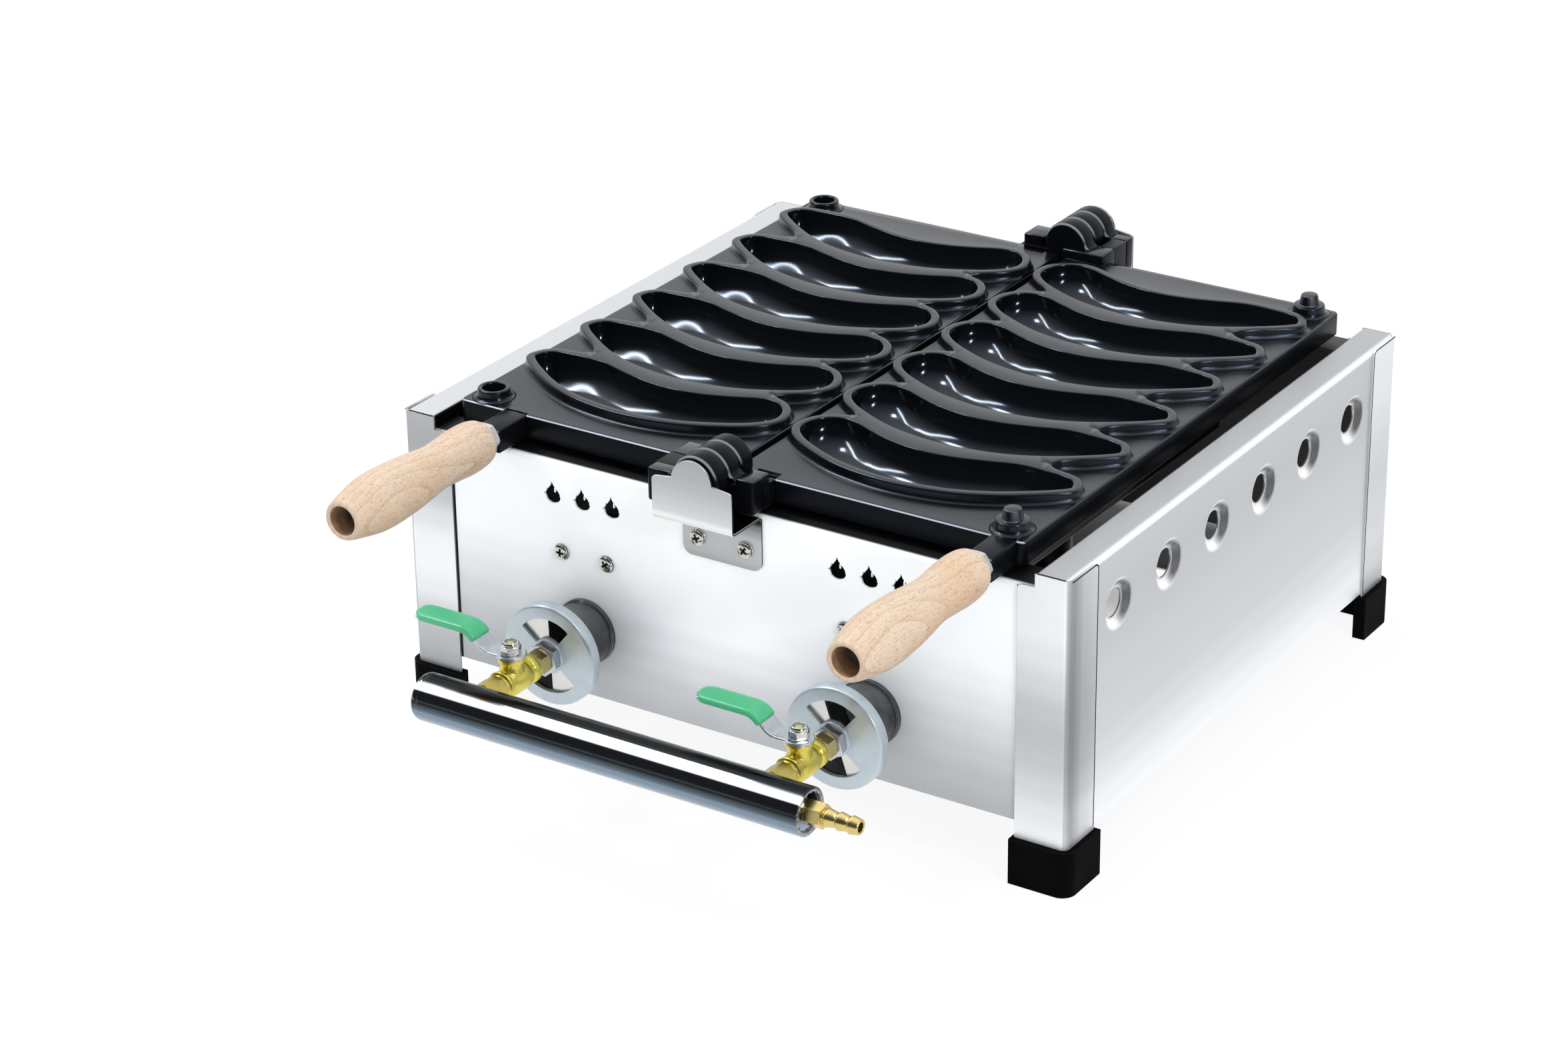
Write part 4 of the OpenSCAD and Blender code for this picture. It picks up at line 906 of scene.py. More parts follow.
def border_path(notch_end):
    """Outline of the plate with its outward ways, and the cell corner that each point belongs to.

    notch_end is the end, -1 or 1, where the hinge corner is cut back for a knuckle.
    """
    path = []
    corner_r = 4.0
    notch_x = 13.1
    notch_y = 177.25
    corners = [(PLATE_X[0], PLATE_Y[0], 180), (PLATE_X[1], PLATE_Y[0], 270),
               (PLATE_X[1], PLATE_Y[1], 0), (PLATE_X[0], PLATE_Y[1], 90)]
    for x, y, angle in corners:
        at_hinge = x == PLATE_X[0]
        end = 1 if y > 0 else -1
        inner = (CELL_X[0 if at_hinge else 1], CELL_Y[int(y > 0)])
        if at_hinge and end == notch_end:
            beside = (notch_x, inner[1])
            notch = [((x, notch_y * end), (-1, 0), inner), ((notch_x, notch_y * end), (-1, end), beside),
                     ((notch_x, y), (0, end), beside)]
            path += notch if end < 0 else notch[::-1]
            continue
        middle = (x + corner_r * (1 if at_hinge else -1), y - corner_r * end)
        for a in np.radians(angle + np.linspace(0, 90, 6)):
            n = (math.cos(a), math.sin(a))
            path.append(((middle[0] + corner_r * n[0], middle[1] + corner_r * n[1]), n, inner))
    return (np.array([p[k] for p in path], float) for k in range(3))


def plate_border(notch_end):
    """Grid round the plate: flat edge strip, rounded edge, wall, underside of the skirt, ceiling."""
    outer, way, inner = border_path(notch_end)
    soft = 1.2
    rows = [(inner, SURFACE_Z), (outer - soft * way, SURFACE_Z)]
    for a in np.radians([30, 60, 90]):
        rows.append((outer - soft * (1 - math.sin(a)) * way, SURFACE_Z - soft * (1 - math.cos(a))))
    rows += [(outer, PLATE_Z + 0.8), (outer - 0.25 * way, PLATE_Z + 0.25), (outer - 0.8 * way, PLATE_Z)]
    rows += [(outer - SKIRT * way, PLATE_Z), (outer - SKIRT * way, CEILING_Z)]
    ceiling = np.column_stack([np.where(inner[:, 0] == CELL_X[1], HOLLOW_X[1], HOLLOW_X[0]),
                               np.where(inner[:, 1] > 0, HOLLOW_Y[1], HOLLOW_Y[0])])
    rows.append((ceiling, CEILING_Z))
    return raised(rows)


def rounded_block(low, high, r, steps=3):
    """Box with rounded edges: each corner is an eighth of a ball of radius r, in mm."""
    low = np.array(low, float)
    high = np.array(high, float)
    middle = (low + high) / 2
    half = (high - low) / 2 - r
    around = np.radians(np.concatenate([np.linspace(0, 90, steps + 1) + 90 * k for k in range(4)]))
    corner_x = np.repeat([1, -1, -1, 1], steps + 1)
    corner_y = np.repeat([1, 1, -1, -1], steps + 1)
    rise = np.radians(np.concatenate([np.linspace(-90, 0, steps + 1), np.linspace(0, 90, steps + 1)]))
    corner_z = np.repeat([-1, 1], steps + 1)
    x = corner_x * half[0] + r * np.outer(np.cos(rise), np.cos(around))
    y = corner_y * half[1] + r * np.outer(np.cos(rise), np.sin(around))
    z = (corner_z * half[2] + r * np.sin(rise))[:, None] + np.zeros_like(x)
    body = np.stack([x, y, z], axis=-1)
    cap = np.zeros((1, body.shape[1], 3))
    foot = cap + (0, 0, -half[2] - r)
    top = cap + (0, 0, half[2] + r)
    return np.concatenate([foot, body, top]) + middle


def bar_along_y(section, y0, y1, r, heart):
    """Section in x and z carried from y0 to y1, its end edges rounded by r; the ends meet in heart."""
    section = np.array(section, float)
    heart = np.array(heart, float)
    way = outward(section)
    turn = np.radians([0, 22, 45, 67, 90])
    start = [(section - r * (1 - math.sin(a)) * way, y0 + r * (1 - math.cos(a))) for a in turn]
    stop = [(section - r * (1 - math.sin(a)) * way, y1 - r * (1 - math.cos(a))) for a in turn[::-1]]
    rows = [(heart + 0 * section, y0)] + start + stop + [(heart + 0 * section, y1)]
    return np.array([np.column_stack([p[:, 0], np.full(len(p), y), p[:, 1]]) for p, y in rows])


def turned(profile, count=48):
    """Profile of radius and height turned about z, in mm."""
    profile = np.array(profile, float)
    angle = np.linspace(0, 2 * math.pi, count, endpoint=False)
    x = np.outer(profile[:, 0], np.cos(angle))
    y = np.outer(profile[:, 0], np.sin(angle))
    z = profile[:, 1][:, None] + np.zeros_like(x)
    return np.stack([x, y, z], axis=-1)


def quarter(x, z, r, a0, a1, steps=5):
    """Points of an arc of radius r about (x, z) from angle a0 to a1, in degrees."""
    a = np.radians(np.linspace(a0, a1, steps))
    return [(x + r * math.cos(t), z + r * math.sin(t)) for t in a]


def knuckle_section():
    """Round knuckle that runs down in a fillet to a lug at rim height."""
    f = 4.0
    x = math.sqrt((KNUCKLE_R + f) ** 2 - (RIM_Z + f - AXIS_Z) ** 2)
    touch = math.degrees(math.atan2(RIM_Z + f - AXIS_Z, x))
    section = [(x, RIM_Z - 3.0), (x, RIM_Z)]
    section += quarter(x, RIM_Z + f, f, 270, 180 + touch, 6)
    section += quarter(0, AXIS_Z, KNUCKLE_R, touch + 4, 318, 40)
    return np.array(section)


def bitten_section(width, top):
    """Lug section with the round pocket for the other plate's knuckle, a little wider than that.

    A high lug is cut back at the pocket's edge, where the fillet of that knuckle comes to lie.
    """
    r = KNUCKLE_R + 0.4
    edge_z = AXIS_Z - 4.6
    side = math.degrees(math.asin((min(top, edge_z) - AXIS_Z) / r))
    low = math.degrees(math.acos(LUG_X / r))
    section = [(LUG_X, PLATE_Z), (width, PLATE_Z), (width, top)]
    if top > edge_z:
        section.append((18.4, top))
    return np.array(section + quarter(0, AXIS_Z, r, side, -low, 12))


def hinge_lugs(y_edge, width, outer):
    """Lugs and knuckles of one plate at one end, drawn towards +x and +y.

    outer says that this plate has the two outer knuckles at that end.
    """
    root = y_edge - 8
    first, second, third = KNUCKLE_Y
    # Outer knuckles stand on two lugs, the inner one on a lug and a stepped block
    if outer:
        parts = [rounded_block((LUG_X, y0, PLATE_Z), (width, y1, RIM_Z), 1.2)
                 for y0, y1 in ((root, third), (first - KNUCKLE_L, first - 2.5))]
        parts.append(bar_along_y(bitten_section(width - 0.1, RIM_Z - 0.05), third - 2,
                                 first - KNUCKLE_L + 2, 0.1, (width - 3, PLATE_Z + 2)))
    else:
        parts = [bar_along_y(bitten_section(width, SURFACE_Z - 0.03), root, second - KNUCKLE_L + 1,
                             0.6, (width - 6, PLATE_Z + 2)),
                 rounded_block((LUG_X, 190.356, PLATE_Z), (width, 200.256, RIM_Z), 1.2),
                 rounded_block((17.6, 183.9, PLATE_Z), (width - 0.02, 200.2, RIM_Z - 0.02), 1.2)]
    for y in ((first, third) if outer else (second,)):
        parts.append(bar_along_y(knuckle_section(), y - KNUCKLE_L, y, 2.0, (0.0, AXIS_Z)))
    return parts


def locating_boss():
    """Section of the boss of a ring or pin: flared foot and outer edge at rim height."""
    section = [(12.4, SURFACE_Z - 0.2)] + quarter(12.0, SURFACE_Z + 2.8, 2.8, 270, 180)
    return section + quarter(8.0, RIM_Z - 1.0, 1.0, 0, 90)


def locating_ring():
    """Section of a socket ring: boss, rounded top and a blind hole."""
    section = locating_boss() + quarter(7.3, RIM_Z - 1.0, 1.0, 90, 180)
    section += [(6.3, RIM_Z - 8.0), (0.0, RIM_Z - 8.0)]
    return section


def locating_pin():
    """Section of a pin: boss, then a tapered peg."""
    section = locating_boss() + quarter(6.6, RIM_Z + 0.8, 0.8, 270, 180, 4)
    section += quarter(4.0, RIM_Z + 5.1, 0.8, 10, 90, 4) + [(0.0, RIM_Z + 5.9)]
    return section


def plate_surface(points, side, inside_out=False):
    """Grid of one plate, drawn towards +x and mirrored for the left plate, facing out in both."""
    placed = points * (side, 1, 1) + (0, MIDDLE_Y, 0)
    return surface(placed * MM, wrap_columns=True, flip=(side < 0) != inside_out)


def cell_grids(make):
    """Grids of all the cells of a plate; the inner rows are the second one, moved by whole pitches."""
    border = border_between_rows()
    inner = make(1, border)
    grids = [inner + (0, PITCH * (row - 1), 0) for row in range(1, ROWS - 1)]
    return [make(0, border)] + grids + [make(ROWS - 1, border)]


# Handles and the lugs that hold them, the pads under the plates and the rings or pins on them
HANDLE_X = {"left": -140.5, "right": 165.27}
HANDLE_Z = 186.0
LUG_W = 15.6
PAD_X = (145.7, 165.7)
PAD_Z = 173.3
BOSS_X = 163.5
# Materials of the cast plates, by their place on the piece
GLOSSY = 0
DULL = 1
SATIN = 2


def cast_plate(name, side, tops, undersides, *materials):
    """One plate with its cells, border, lugs, knuckles, pads, handle lug and rings or pins.

    Cavities and what faces up are glossy, the rims and flats round them satin, the rest is dull.
    """
    width = 31.5 if side < 0 else 27.6
    parts = [plate_surface(points[:LIP_ROW + 1], side) for points in tops]
    parts += [plate_surface(points[LIP_ROW:], side) + (SATIN,) for points in tops]
    walls = [plate_surface(points, side, inside_out=True) for points in undersides]
    walls.append(plate_surface(plate_border(-side), side))
    for end in (-1, 1):
        y_edge = -PLATE_Y[0] if end < 0 else PLATE_Y[1]
        for points in hinge_lugs(y_edge, width, end == side):
            walls.append(plate_surface(points * (1, end, 1), side, inside_out=end > 0))
    handle_x = abs(HANDLE_X["left" if side < 0 else "right"])
    low = (handle_x - LUG_W / 2, LUG_Y, PLATE_Z)
    blocks = [rounded_block(low, (handle_x + LUG_W / 2, CELL_Y[0], SURFACE_Z), 1.0)]
    for y0, y1 in ((PLATE_Y[0] + 1.0, PLATE_Y[0] + 5.0), (PLATE_Y[1] - 5.0, PLATE_Y[1] - 1.0)):
        blocks.append(rounded_block((PAD_X[0], y0, PAD_Z), (PAD_X[1], y1, PLATE_Z + 1.5), 0.6))
    walls += [plate_surface(points, side) for points in blocks]
    section = locating_ring() if side < 0 else locating_pin()
    for y in (PLATE_Y[0] + 12.6, PLATE_Y[1] - 11.0):
        parts.append(plate_surface(turned(section) + (BOSS_X, y, 0), side) + (SATIN,))
    parts += [wall + (DULL,) for wall in walls]
    plate = sheet_object(name, parts, *materials, sharp=40)
    slots = np.empty(len(plate.data.polygons), np.int32)
    plate.data.polygons.foreach_get("material_index", slots)
    ways = np.empty(len(slots) * 3, np.float32)
    plate.data.polygons.foreach_get("normal", ways)
    # What leans up enough to be seen from above is as glossy as the cavities
    slots[(ways[2::3] > 0.35) & (slots == DULL)] = GLOSSY
    plate.data.polygons.foreach_set("material_index", slots)
    return plate


# Turned, six-sided and bent pieces

UP = np.eye(3)
FRONT = np.array([[1.0, 0.0, 0.0], [0.0, 0.0, -1.0], [0.0, 1.0, 0.0]])
BACK = np.array([[-1.0, 0.0, 0.0], [0.0, 0.0, 1.0], [0.0, 1.0, 0.0]])
RIGHT = np.array([[0.0, 0.0, 1.0], [0.0, 1.0, 0.0], [-1.0, 0.0, 0.0]])


def set_at(points, turn, place):
    """Points of a piece drawn along +z, turned and moved into the frame, in metres."""
    return (points @ turn.T + (place[0], place[1] + MIDDLE_Y, place[2])) * MM


def closed_ring(points, turn, place):
    """Grid that closes on itself both ways."""
    return surface(set_at(points, turn, place), wrap_rows=True, wrap_columns=True)


def closed_turning(points, turn, place):
    """Grid round an axis whose first and last rows lie on the axis."""
    return surface(set_at(points, turn, place), wrap_columns=True)


def hex_ring(across, z0, z1, bore, spin=0.0, slope=0.55, count=72):
    """Six-sided nut: at each angle the radius is half the width across the flats over the cosine.

    Its corners are cut by a cone at both ends, whose height is slope times the length cut off.
    """
    angle = np.arange(count) * 2 * math.pi / count
    sixth = math.pi / 3
    reach = across / 2 / np.cos((angle + sixth / 2) % sixth - sixth / 2)
    inner = np.minimum(reach, across / 2 * 0.98)
    drop = (reach - inner) * slope
    rows = [(bore, z0 + 0.4), (bore, z1 - 0.4), (bore + 0.4, z1), (inner, z1), (reach, z1 - drop),
            (reach, z0 + drop), (inner, z0), (bore + 0.4, z0)]
    r = np.array([np.broadcast_to(row[0], count) for row in rows])
    z = np.array([np.broadcast_to(row[1], count) for row in rows])
    way = angle + math.radians(spin)
    return np.stack([r * np.cos(way), r * np.sin(way), z], axis=-1)


# A pan head's height over its seat and the radius of its shank
HEAD = 2.8
SHANK_R = 1.9


def pan_head(spin, shank):
    """Grid of a pan-head screw on a flange with its cross recess, and the mask of the faces with painted
    shade in the recess.

    The head's height falls with the square of the radius; in the recess it is lowered by a
    depth that runs from 1 to 0 over the edge of two crossed bars.
    """
    dome = [0, .3, .6, .8, 1.0, 1.3, 1.6, 1.9, 2.2, 2.5, 2.8, 3.2, 3.7, 4.1, 4.4]
    r = np.array(dome + [4.5, 4.5, 4.6, 4.9, 5.0, 5.0, SHANK_R, SHANK_R, 0])
    z = np.where(r < 3.3, HEAD - 0.05 * r ** 2, HEAD - 0.35 * (r - 2.2) ** 1.5)
    z[len(dome):] = [1.4, 0.9, 0.8, 0.75, 0.6, 0.0, 0.0, -shank, -shank]
    angle = np.arange(96) * 2 * math.pi / 96
    x = np.outer(r, np.cos(angle))
    y = np.outer(r, np.sin(angle))
    narrow = np.minimum(abs(x), abs(y))
    wide = np.maximum(abs(x), abs(y))
    over = np.maximum(narrow - 0.55, wide - 2.3)
    deep = np.clip(0.5 - over / 0.35, 0, 1) * 1.7
    height = z[:, None] + np.zeros_like(x)
    height[:len(dome)] -= deep[:len(dome)]
    turn = math.radians(spin)
    points = np.stack([x * math.cos(turn) - y * math.sin(turn), x * math.sin(turn) + y * math.cos(turn),
                       height], axis=-1)
    beside = np.roll(deep, -1, axis=1)
    painted_shade_faces = deep[:-1] + deep[1:] + beside[:-1] + beside[1:]
    painted_shade_faces[len(dome) - 1:] = 0
    # The ring where the head meets its flange gets painted shade too
    painted_shade_faces[len(dome):len(dome) + 2] = 9
    return points, painted_shade_faces.ravel() > 3.4


def fitted(name, node, body, slot, parts, *materials, sharp=35.0):
    """Finished piece that takes a CAD node's place and moves with its body."""
    made = sheet_object(name, parts, *materials, sharp=sharp, outward=True)
    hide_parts(node)
    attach(made, body)
    return made


def screws(nickel, shade):
    """Screws of the brackets and the burners, each turned a little differently, with painted shade in their
    recesses.
    """
    names = ["bracket_screw_%s_%s" % (end, word) for end in ("front", "rear") for word in SIDES]
    names += ["burner_screw_%s_%d" % (end, n) for end in ("front", "rear") for n in (1, 2, 3, 4)]
    for number, name in enumerate(names):
        low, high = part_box(name)
        front = "front" in name
        middle = (low + high) / 2
        seat = (low.y / MM + HEAD if front else high.y / MM - HEAD) - MIDDLE_Y
        shank = (high.y - low.y) / MM - HEAD
        points, painted_shade_faces = pan_head(17 + 40 * number, shank)
        place = (middle.x / MM, seat, middle.z / MM)
        spots, quads = closed_turning(points, FRONT if front else BACK, place)
        parts = [(spots, quads[~painted_shade_faces]), (spots, quads[painted_shade_faces], 1)]
        fitted(name.replace("screw", "pan_head"), name, "frame", "zinc", parts, nickel, shade, sharp=28)


GRIP_R = 16.0
GRIP_L = 120.5
# Radius of a grip over its length, as shares of GRIP_R after those of GRIP_L
GRIP_CURVE = np.array([
    (0.012, 0.7), (0.035, 0.79), (0.08, 0.845), (0.15, 0.862), (0.24, 0.82), (0.335, 0.78), (0.41, 0.82),
    (0.485, 0.888), (0.58, 0.955), (0.69, 0.998), (0.755, 1.0), (0.8, 0.982), (0.85, 0.925),
    (0.92, 0.82), (0.965, 0.745), (0.99, 0.69)])


def grip(word, material, bored):
    """Turned wooden grip: a smooth curve of radius over length, a rim and a stepped bore."""
    curve = smooth_through(GRIP_CURVE, 110, closed=False)
    outside = np.stack([GRIP_R * curve[:, 1], GRIP_L * curve[:, 0]], axis=-1)
    profile = [(3.0, 0.0), (9.0, 0.0), (10.1, 0.35)] + list(outside)
    profile += [(10.6, GRIP_L - 0.4), (10.0, GRIP_L), (8.7, GRIP_L), (8.25, GRIP_L - 0.2),
                (8.1, GRIP_L - 0.6)]
    bore = [(8.1, GRIP_L - depth) for depth in (0.6, 3.5, 10.5, 18.0)]
    bore += [(3.0, GRIP_L - 18.0), (3.0, 0.0)]
    place = (HANDLE_X[word], LUG_Y - 5, HANDLE_Z)
    parts = [closed_turning(turned(profile, 72), FRONT, place),
             closed_turning(turned(bore, 72), FRONT, place) + (1,)]
    fitted("wooden_grip_" + word, "grip_" + word, "plate_" + word + "_assembly", "beech", parts, material,
           bored, sharp=50)


def handle_nuts(word, material, dark):
    """Six-sided nut between the plate's lug and the grip, and the one in the grip's bore."""
    body = "plate_" + word + "_assembly"
    x = HANDLE_X[word]
    part = closed_ring(hex_ring(16, 0, 5, 3.0, spin=30), FRONT, (x, LUG_Y, HANDLE_Z))
    fitted("lug_hex_" + word, "lug_nut_" + word, body, "zinc", [part], material)
    part = closed_ring(hex_ring(10, 0, 5, 3.0), FRONT, (x, LUG_Y - 107.5, HANDLE_Z))
    fitted("grip_hex_" + word, "grip_nut_" + word, body, "zinc", [part], dark)


# Where each piece of the gas train starts, along y from the frame's middle
GAS_Y = {"shutter": -224.556, "shutter_nut": -225.856, "tape": -231.056, "nozzle_hexagon": -232.356,
         "tape_lip": -239.656, "valve": -240.056, "valve_hexagon": -270.756, "valve_stub": -281.756}


def on_gas_line(word, station, points):
    """Closed ring of a piece on one burner's axis, placed by its station."""
    return closed_ring(points, FRONT, (SIDES[word] * BURNER_X, GAS_Y[station], BURNER_Z))


def shutter_disc(word, material):
    """Cup-shaped disc with two windows: a profile turned about the burner's axis.

    The faces between the two window radii are left out over the windows' angles, and a wall
    round each window closes the gap between front and back.
    """
    inner = 10.0
    outer = 21.8
    wide = 89.5
    starts = (50.5, 230.5)
    edges = [50.5, 140.0, 230.5, 320.0, 410.5]
    angle = np.concatenate([np.linspace(a, b, 25)[:-1] for a, b in zip(edges[:-1], edges[1:])])
    profile = [(5.05, 1.0), (9.4, 1.0), (9.8, 0.8), (inner, 0.3), (inner, 0.0), (outer, 0.0), (27.7, 0.0),
               (28.4, -0.2), (28.9, -0.6), (29.2, -1.2), (29.3, -1.9), (29.3, -6.9), (29.1, -7.4),
               (28.6, -7.5), (27.6, -7.5), (27.3, -7.2), (27.3, -2.0), (outer, -2.0), (inner, -2.0),
               (5.05, -2.0)]
    front_row = 4
    back_row = 17
    profile = np.array(profile)
    way = np.radians(angle)
    x = np.outer(profile[:, 0], np.cos(way))
    y = np.outer(profile[:, 0], np.sin(way))
    points = np.stack([x, y, profile[:, 1][:, None] + np.zeros_like(x)], axis=-1)
    spots, quads = surface(points, wrap_rows=True, wrap_columns=True)
    rows, columns = np.divmod(np.arange(len(quads)), len(angle))
    from_edge = (angle[columns] - starts[0]) % 180
    window = (from_edge < wide - 0.1) & ((rows == front_row) | (rows == back_row))
    place = (SIDES[word] * BURNER_X, GAS_Y["shutter"], BURNER_Z)
    parts = [(set_at(spots, FRONT, place), quads[~window])]
    for start in starts:
        arc = np.radians(np.linspace(start, start + wide, 25))
        near = np.stack([np.cos(arc), np.sin(arc)], axis=-1) * inner
        away = np.stack([np.cos(arc[::-1]), np.sin(arc[::-1])], axis=-1) * outer
        flat = np.concatenate([near, away])
        wall = np.array([np.column_stack([flat, np.full(len(flat), z)]) for z in (0.0, -2.0)])
        parts.append(surface(set_at(wall, FRONT, place), wrap_columns=True))
    fitted("shutter_disc_" + word, "air_shutter_" + word, "air_shutter_" + word + "_disc", "neck_steel",
           parts, material, sharp=28)


def nozzle_parts(word, zinc, amber, tape):
    """Lock nut of the shutter, brass nozzle with its hexagon, and tape on the thread between them."""
    part = on_gas_line(word, "shutter_nut", hex_ring(17, 0, 5.2, 5.0, spin=11))
    fitted("shutter_hex_" + word, "shutter_nut_" + word, "frame", "zinc", [part], zinc)
    low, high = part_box("nozzle_" + word)
    length = (high.y - low.y) / MM
    pipe = [(1.2, 0), (4.4, 0), (5.0, 0.6), (5.0, length - 0.4), (4.6, length), (1.2, length)]
    parts = [closed_ring(turned(pipe), FRONT, (SIDES[word] * BURNER_X, high.y / MM - MIDDLE_Y, BURNER_Z)),
             on_gas_line(word, "nozzle_hexagon", hex_ring(14, 0, 7.4, 4.9, spin=11, slope=0.4))]
    fitted("gas_nozzle_" + word, "nozzle_" + word, "frame", "brass", parts, amber)
    band = [(5.0, 0.0), (6.1, 0.1), (6.4, 0.5), (6.3, 1.0), (6.0, 1.3), (5.0, 1.3)]
    wound = on_gas_line(word, "tape", turned(band))
    band = [(6.4, 0.0), (7.3, 0.05), (7.75, 0.5), (7.7, 1.1), (7.3, 1.3), (6.4, 1.3)]
    lip = on_gas_line(word, "tape_lip", turned(band))
    made = sheet_object("thread_tape_" + word, [wound, lip], tape, outward=True)
    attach(made, "frame")


def valve_castings(word, brass, dark_brass):
    """Brass ball valve: barrel, end hexagon, round boss and stop tab."""
    x = SIDES[word] * BURNER_X
    barrel = [(3.8, 1.2), (5.0, 1.0), (5.0, 0.2), (5.2, 0.0), (7.4, 0.0), (7.9, 0.4), (8.0, 1.2),
              (8.0, 4.6), (7.8, 5.2), (7.1, 5.9), (7.0, 6.6), (7.2, 7.3), (7.8, 8.4), (8.15, 10.5),
              (8.25, 15.0), (8.2, 19.5), (7.9, 22.0), (7.3, 23.4), (7.1, 24.2), (7.3, 25.0), (8.3, 25.6),
              (8.6, 26.6), (8.3, 27.6), (7.2, 28.2), (7.0, 29.0), (7.1, 31.5), (3.8, 31.5)]
    parts = [on_gas_line(word, "valve", turned(barrel, 64))]
    boss = [(3.06, 6.0), (6.9, 5.0), (6.5, 7.2), (6.2, 8.6), (6.15, 10.6), (6.4, 11.2), (7.2, 11.5),
            (7.4, 11.9), (7.4, 13.7), (7.1, 14.1), (6.8, 14.2), (3.4, 14.2), (3.06, 13.9)]
    parts.append(closed_ring(turned(boss), UP, (x, STEM_Y, BURNER_Z)))
    tab = rounded_block((-2.5, 0, 6.0), (2.5, 2.0, 13.9), 0.5)
    parts.append(closed_turning(tab, UP, (x, STEM_Y + 9.0, BURNER_Z)))
    hexagon = hex_ring(15, 0, 12, 3.8, spin=4, slope=0.5)
    parts.append(on_gas_line(word, "valve_hexagon", hexagon) + (1,))
    stub = [(3.8, 0), (4.9, 0), (5.0, 6.0), (3.8, 6.0)]
    parts.append(on_gas_line(word, "valve_stub", turned(stub)) + (1,))
    fitted("ball_valve_" + word, "valve_body_" + word, "frame", "brass", parts, brass, dark_brass, sharp=32)


def filleted(corners, r, steps=7):
    """Path through corners in which each bend is an arc of radius r, in x and z."""
    corners = np.array(corners, float)
    path = [corners[:1]]
    for before, corner, after in zip(corners[:-2], corners[1:-1], corners[2:]):
        u = (before - corner) / np.linalg.norm(before - corner)
        v = (after - corner) / np.linalg.norm(after - corner)
        half = math.acos(np.dot(u, v)) / 2
        centre = corner + (u + v) / np.linalg.norm(u + v) * r / math.sin(half)
        a = math.atan2(*(corner + u * r / math.tan(half) - centre)[::-1])
        b = math.atan2(*(corner + v * r / math.tan(half) - centre)[::-1])
        b += 2 * math.pi * round((a - b) / (2 * math.pi))
        t = np.linspace(a, b, steps)
        path.append(centre + r * np.stack([np.cos(t), np.sin(t)], axis=-1))
    path.append(corners[-1:])
    return np.concatenate(path)


def strap(path, half_width, half_thick, power, count=40):
    """Flat bar: a rounded rectangle, |y/a|^p + |n/b|^p = 1, carried along a path in x and z."""
    along = np.gradient(path, axis=0)
    along /= np.linalg.norm(along, axis=1)[:, None]
    angle = np.arange(count) * 2 * math.pi / count
    side = np.sign(np.cos(angle)) * abs(np.cos(angle)) ** (2 / power)
    rise = np.sign(np.sin(angle)) * abs(np.sin(angle)) ** (2 / power)
    lift = np.outer(half_thick, rise)
    x = path[:, :1] - along[:, 1:] * lift
    z = path[:, 1:] + along[:, :1] * lift
    return np.stack([x, np.outer(half_width, side), z], axis=-1)


def thickened(path, step):
    """Path with points added so that none are further apart than step."""
    gaps = np.linalg.norm(np.diff(path, axis=0), axis=1)
    s = np.concatenate([[0], np.cumsum(gaps)])
    even = np.unique(np.concatenate([s, np.arange(0, s[-1], step)]))
    return np.stack([np.interp(even, s, path[:, k]) for k in (0, 1)], axis=-1), even


LEVER_TURN = np.diag([-1.0, 1.0, 1.0])
LEVER_Z = 90.0


def round_end(distance, length):
    """Share of full width near an end: a quarter circle's over the given length."""
    return np.sqrt(np.clip(1 - np.clip(1 - distance / length, 0, 1) ** 2, 0, 1))


def capped_strap(path, half_width, half_thick, power, count=40):
    """Strap whose ends are drawn together; the end points differ a little, so that they don't merge."""
    apart = np.linspace(-1e-3, 1e-3, len(path))[:, None]
    return strap(path + apart, half_width, half_thick, power, count)


def lever(word, zinc, green):
    """Cranked lever on its washer, and the dipped sleeve from the crank to its round tip."""
    place = (SIDES[word] * BURNER_X, STEM_Y, LEVER_Z)
    body = "valve_" + word + "_lever"
    line = filleted([(5.0, 0.9), (14.8, 0.9), (24.8, 10.9), (58.5, 10.9)], 9.0)
    path, s = thickened(line, 2.0)
    path = np.concatenate([path[:1], path, path[-1:]])
    half = np.concatenate([[0], np.full(len(s), 1.0), [0]])
    bar = capped_strap(path, 6.4 * half, 0.9 * half, 8.0)
    washer = [(3.03, 0.0), (7.9, 0.0), (8.2, 0.3), (8.2, 1.5), (7.9, 1.8), (3.03, 1.8)]
    parts = [surface(set_at(bar, LEVER_TURN, place), wrap_columns=True),
             closed_ring(turned(washer), UP, place)]
    fitted("cranked_lever_" + word, "valve_lever_" + word, body, "zinc", parts, zinc, sharp=30)
    line = filleted([(19.8, 5.9), (24.8, 10.9), (61.0, 10.9)], 11.0)
    path, s = thickened(line, 0.8)
    left = s[-1] - s
    root = round_end(s, 1.6)
    width = 7.4 * round_end(left, 7.2) * (0.86 + 0.14 * root)
    thick = 2.35 * round_end(left, 2.0) * (0.65 + 0.35 * root)
    path = np.concatenate([path[:1], path])
    sleeve = capped_strap(path, np.concatenate([[0], width]), np.concatenate([[0], thick]), 4.5, count=56)
    part = surface(set_at(sleeve, LEVER_TURN, place), wrap_columns=True)
    fitted("dipped_sleeve_" + word, "lever_sleeve_" + word, body, "green_sleeve", [part], green, sharp=60)


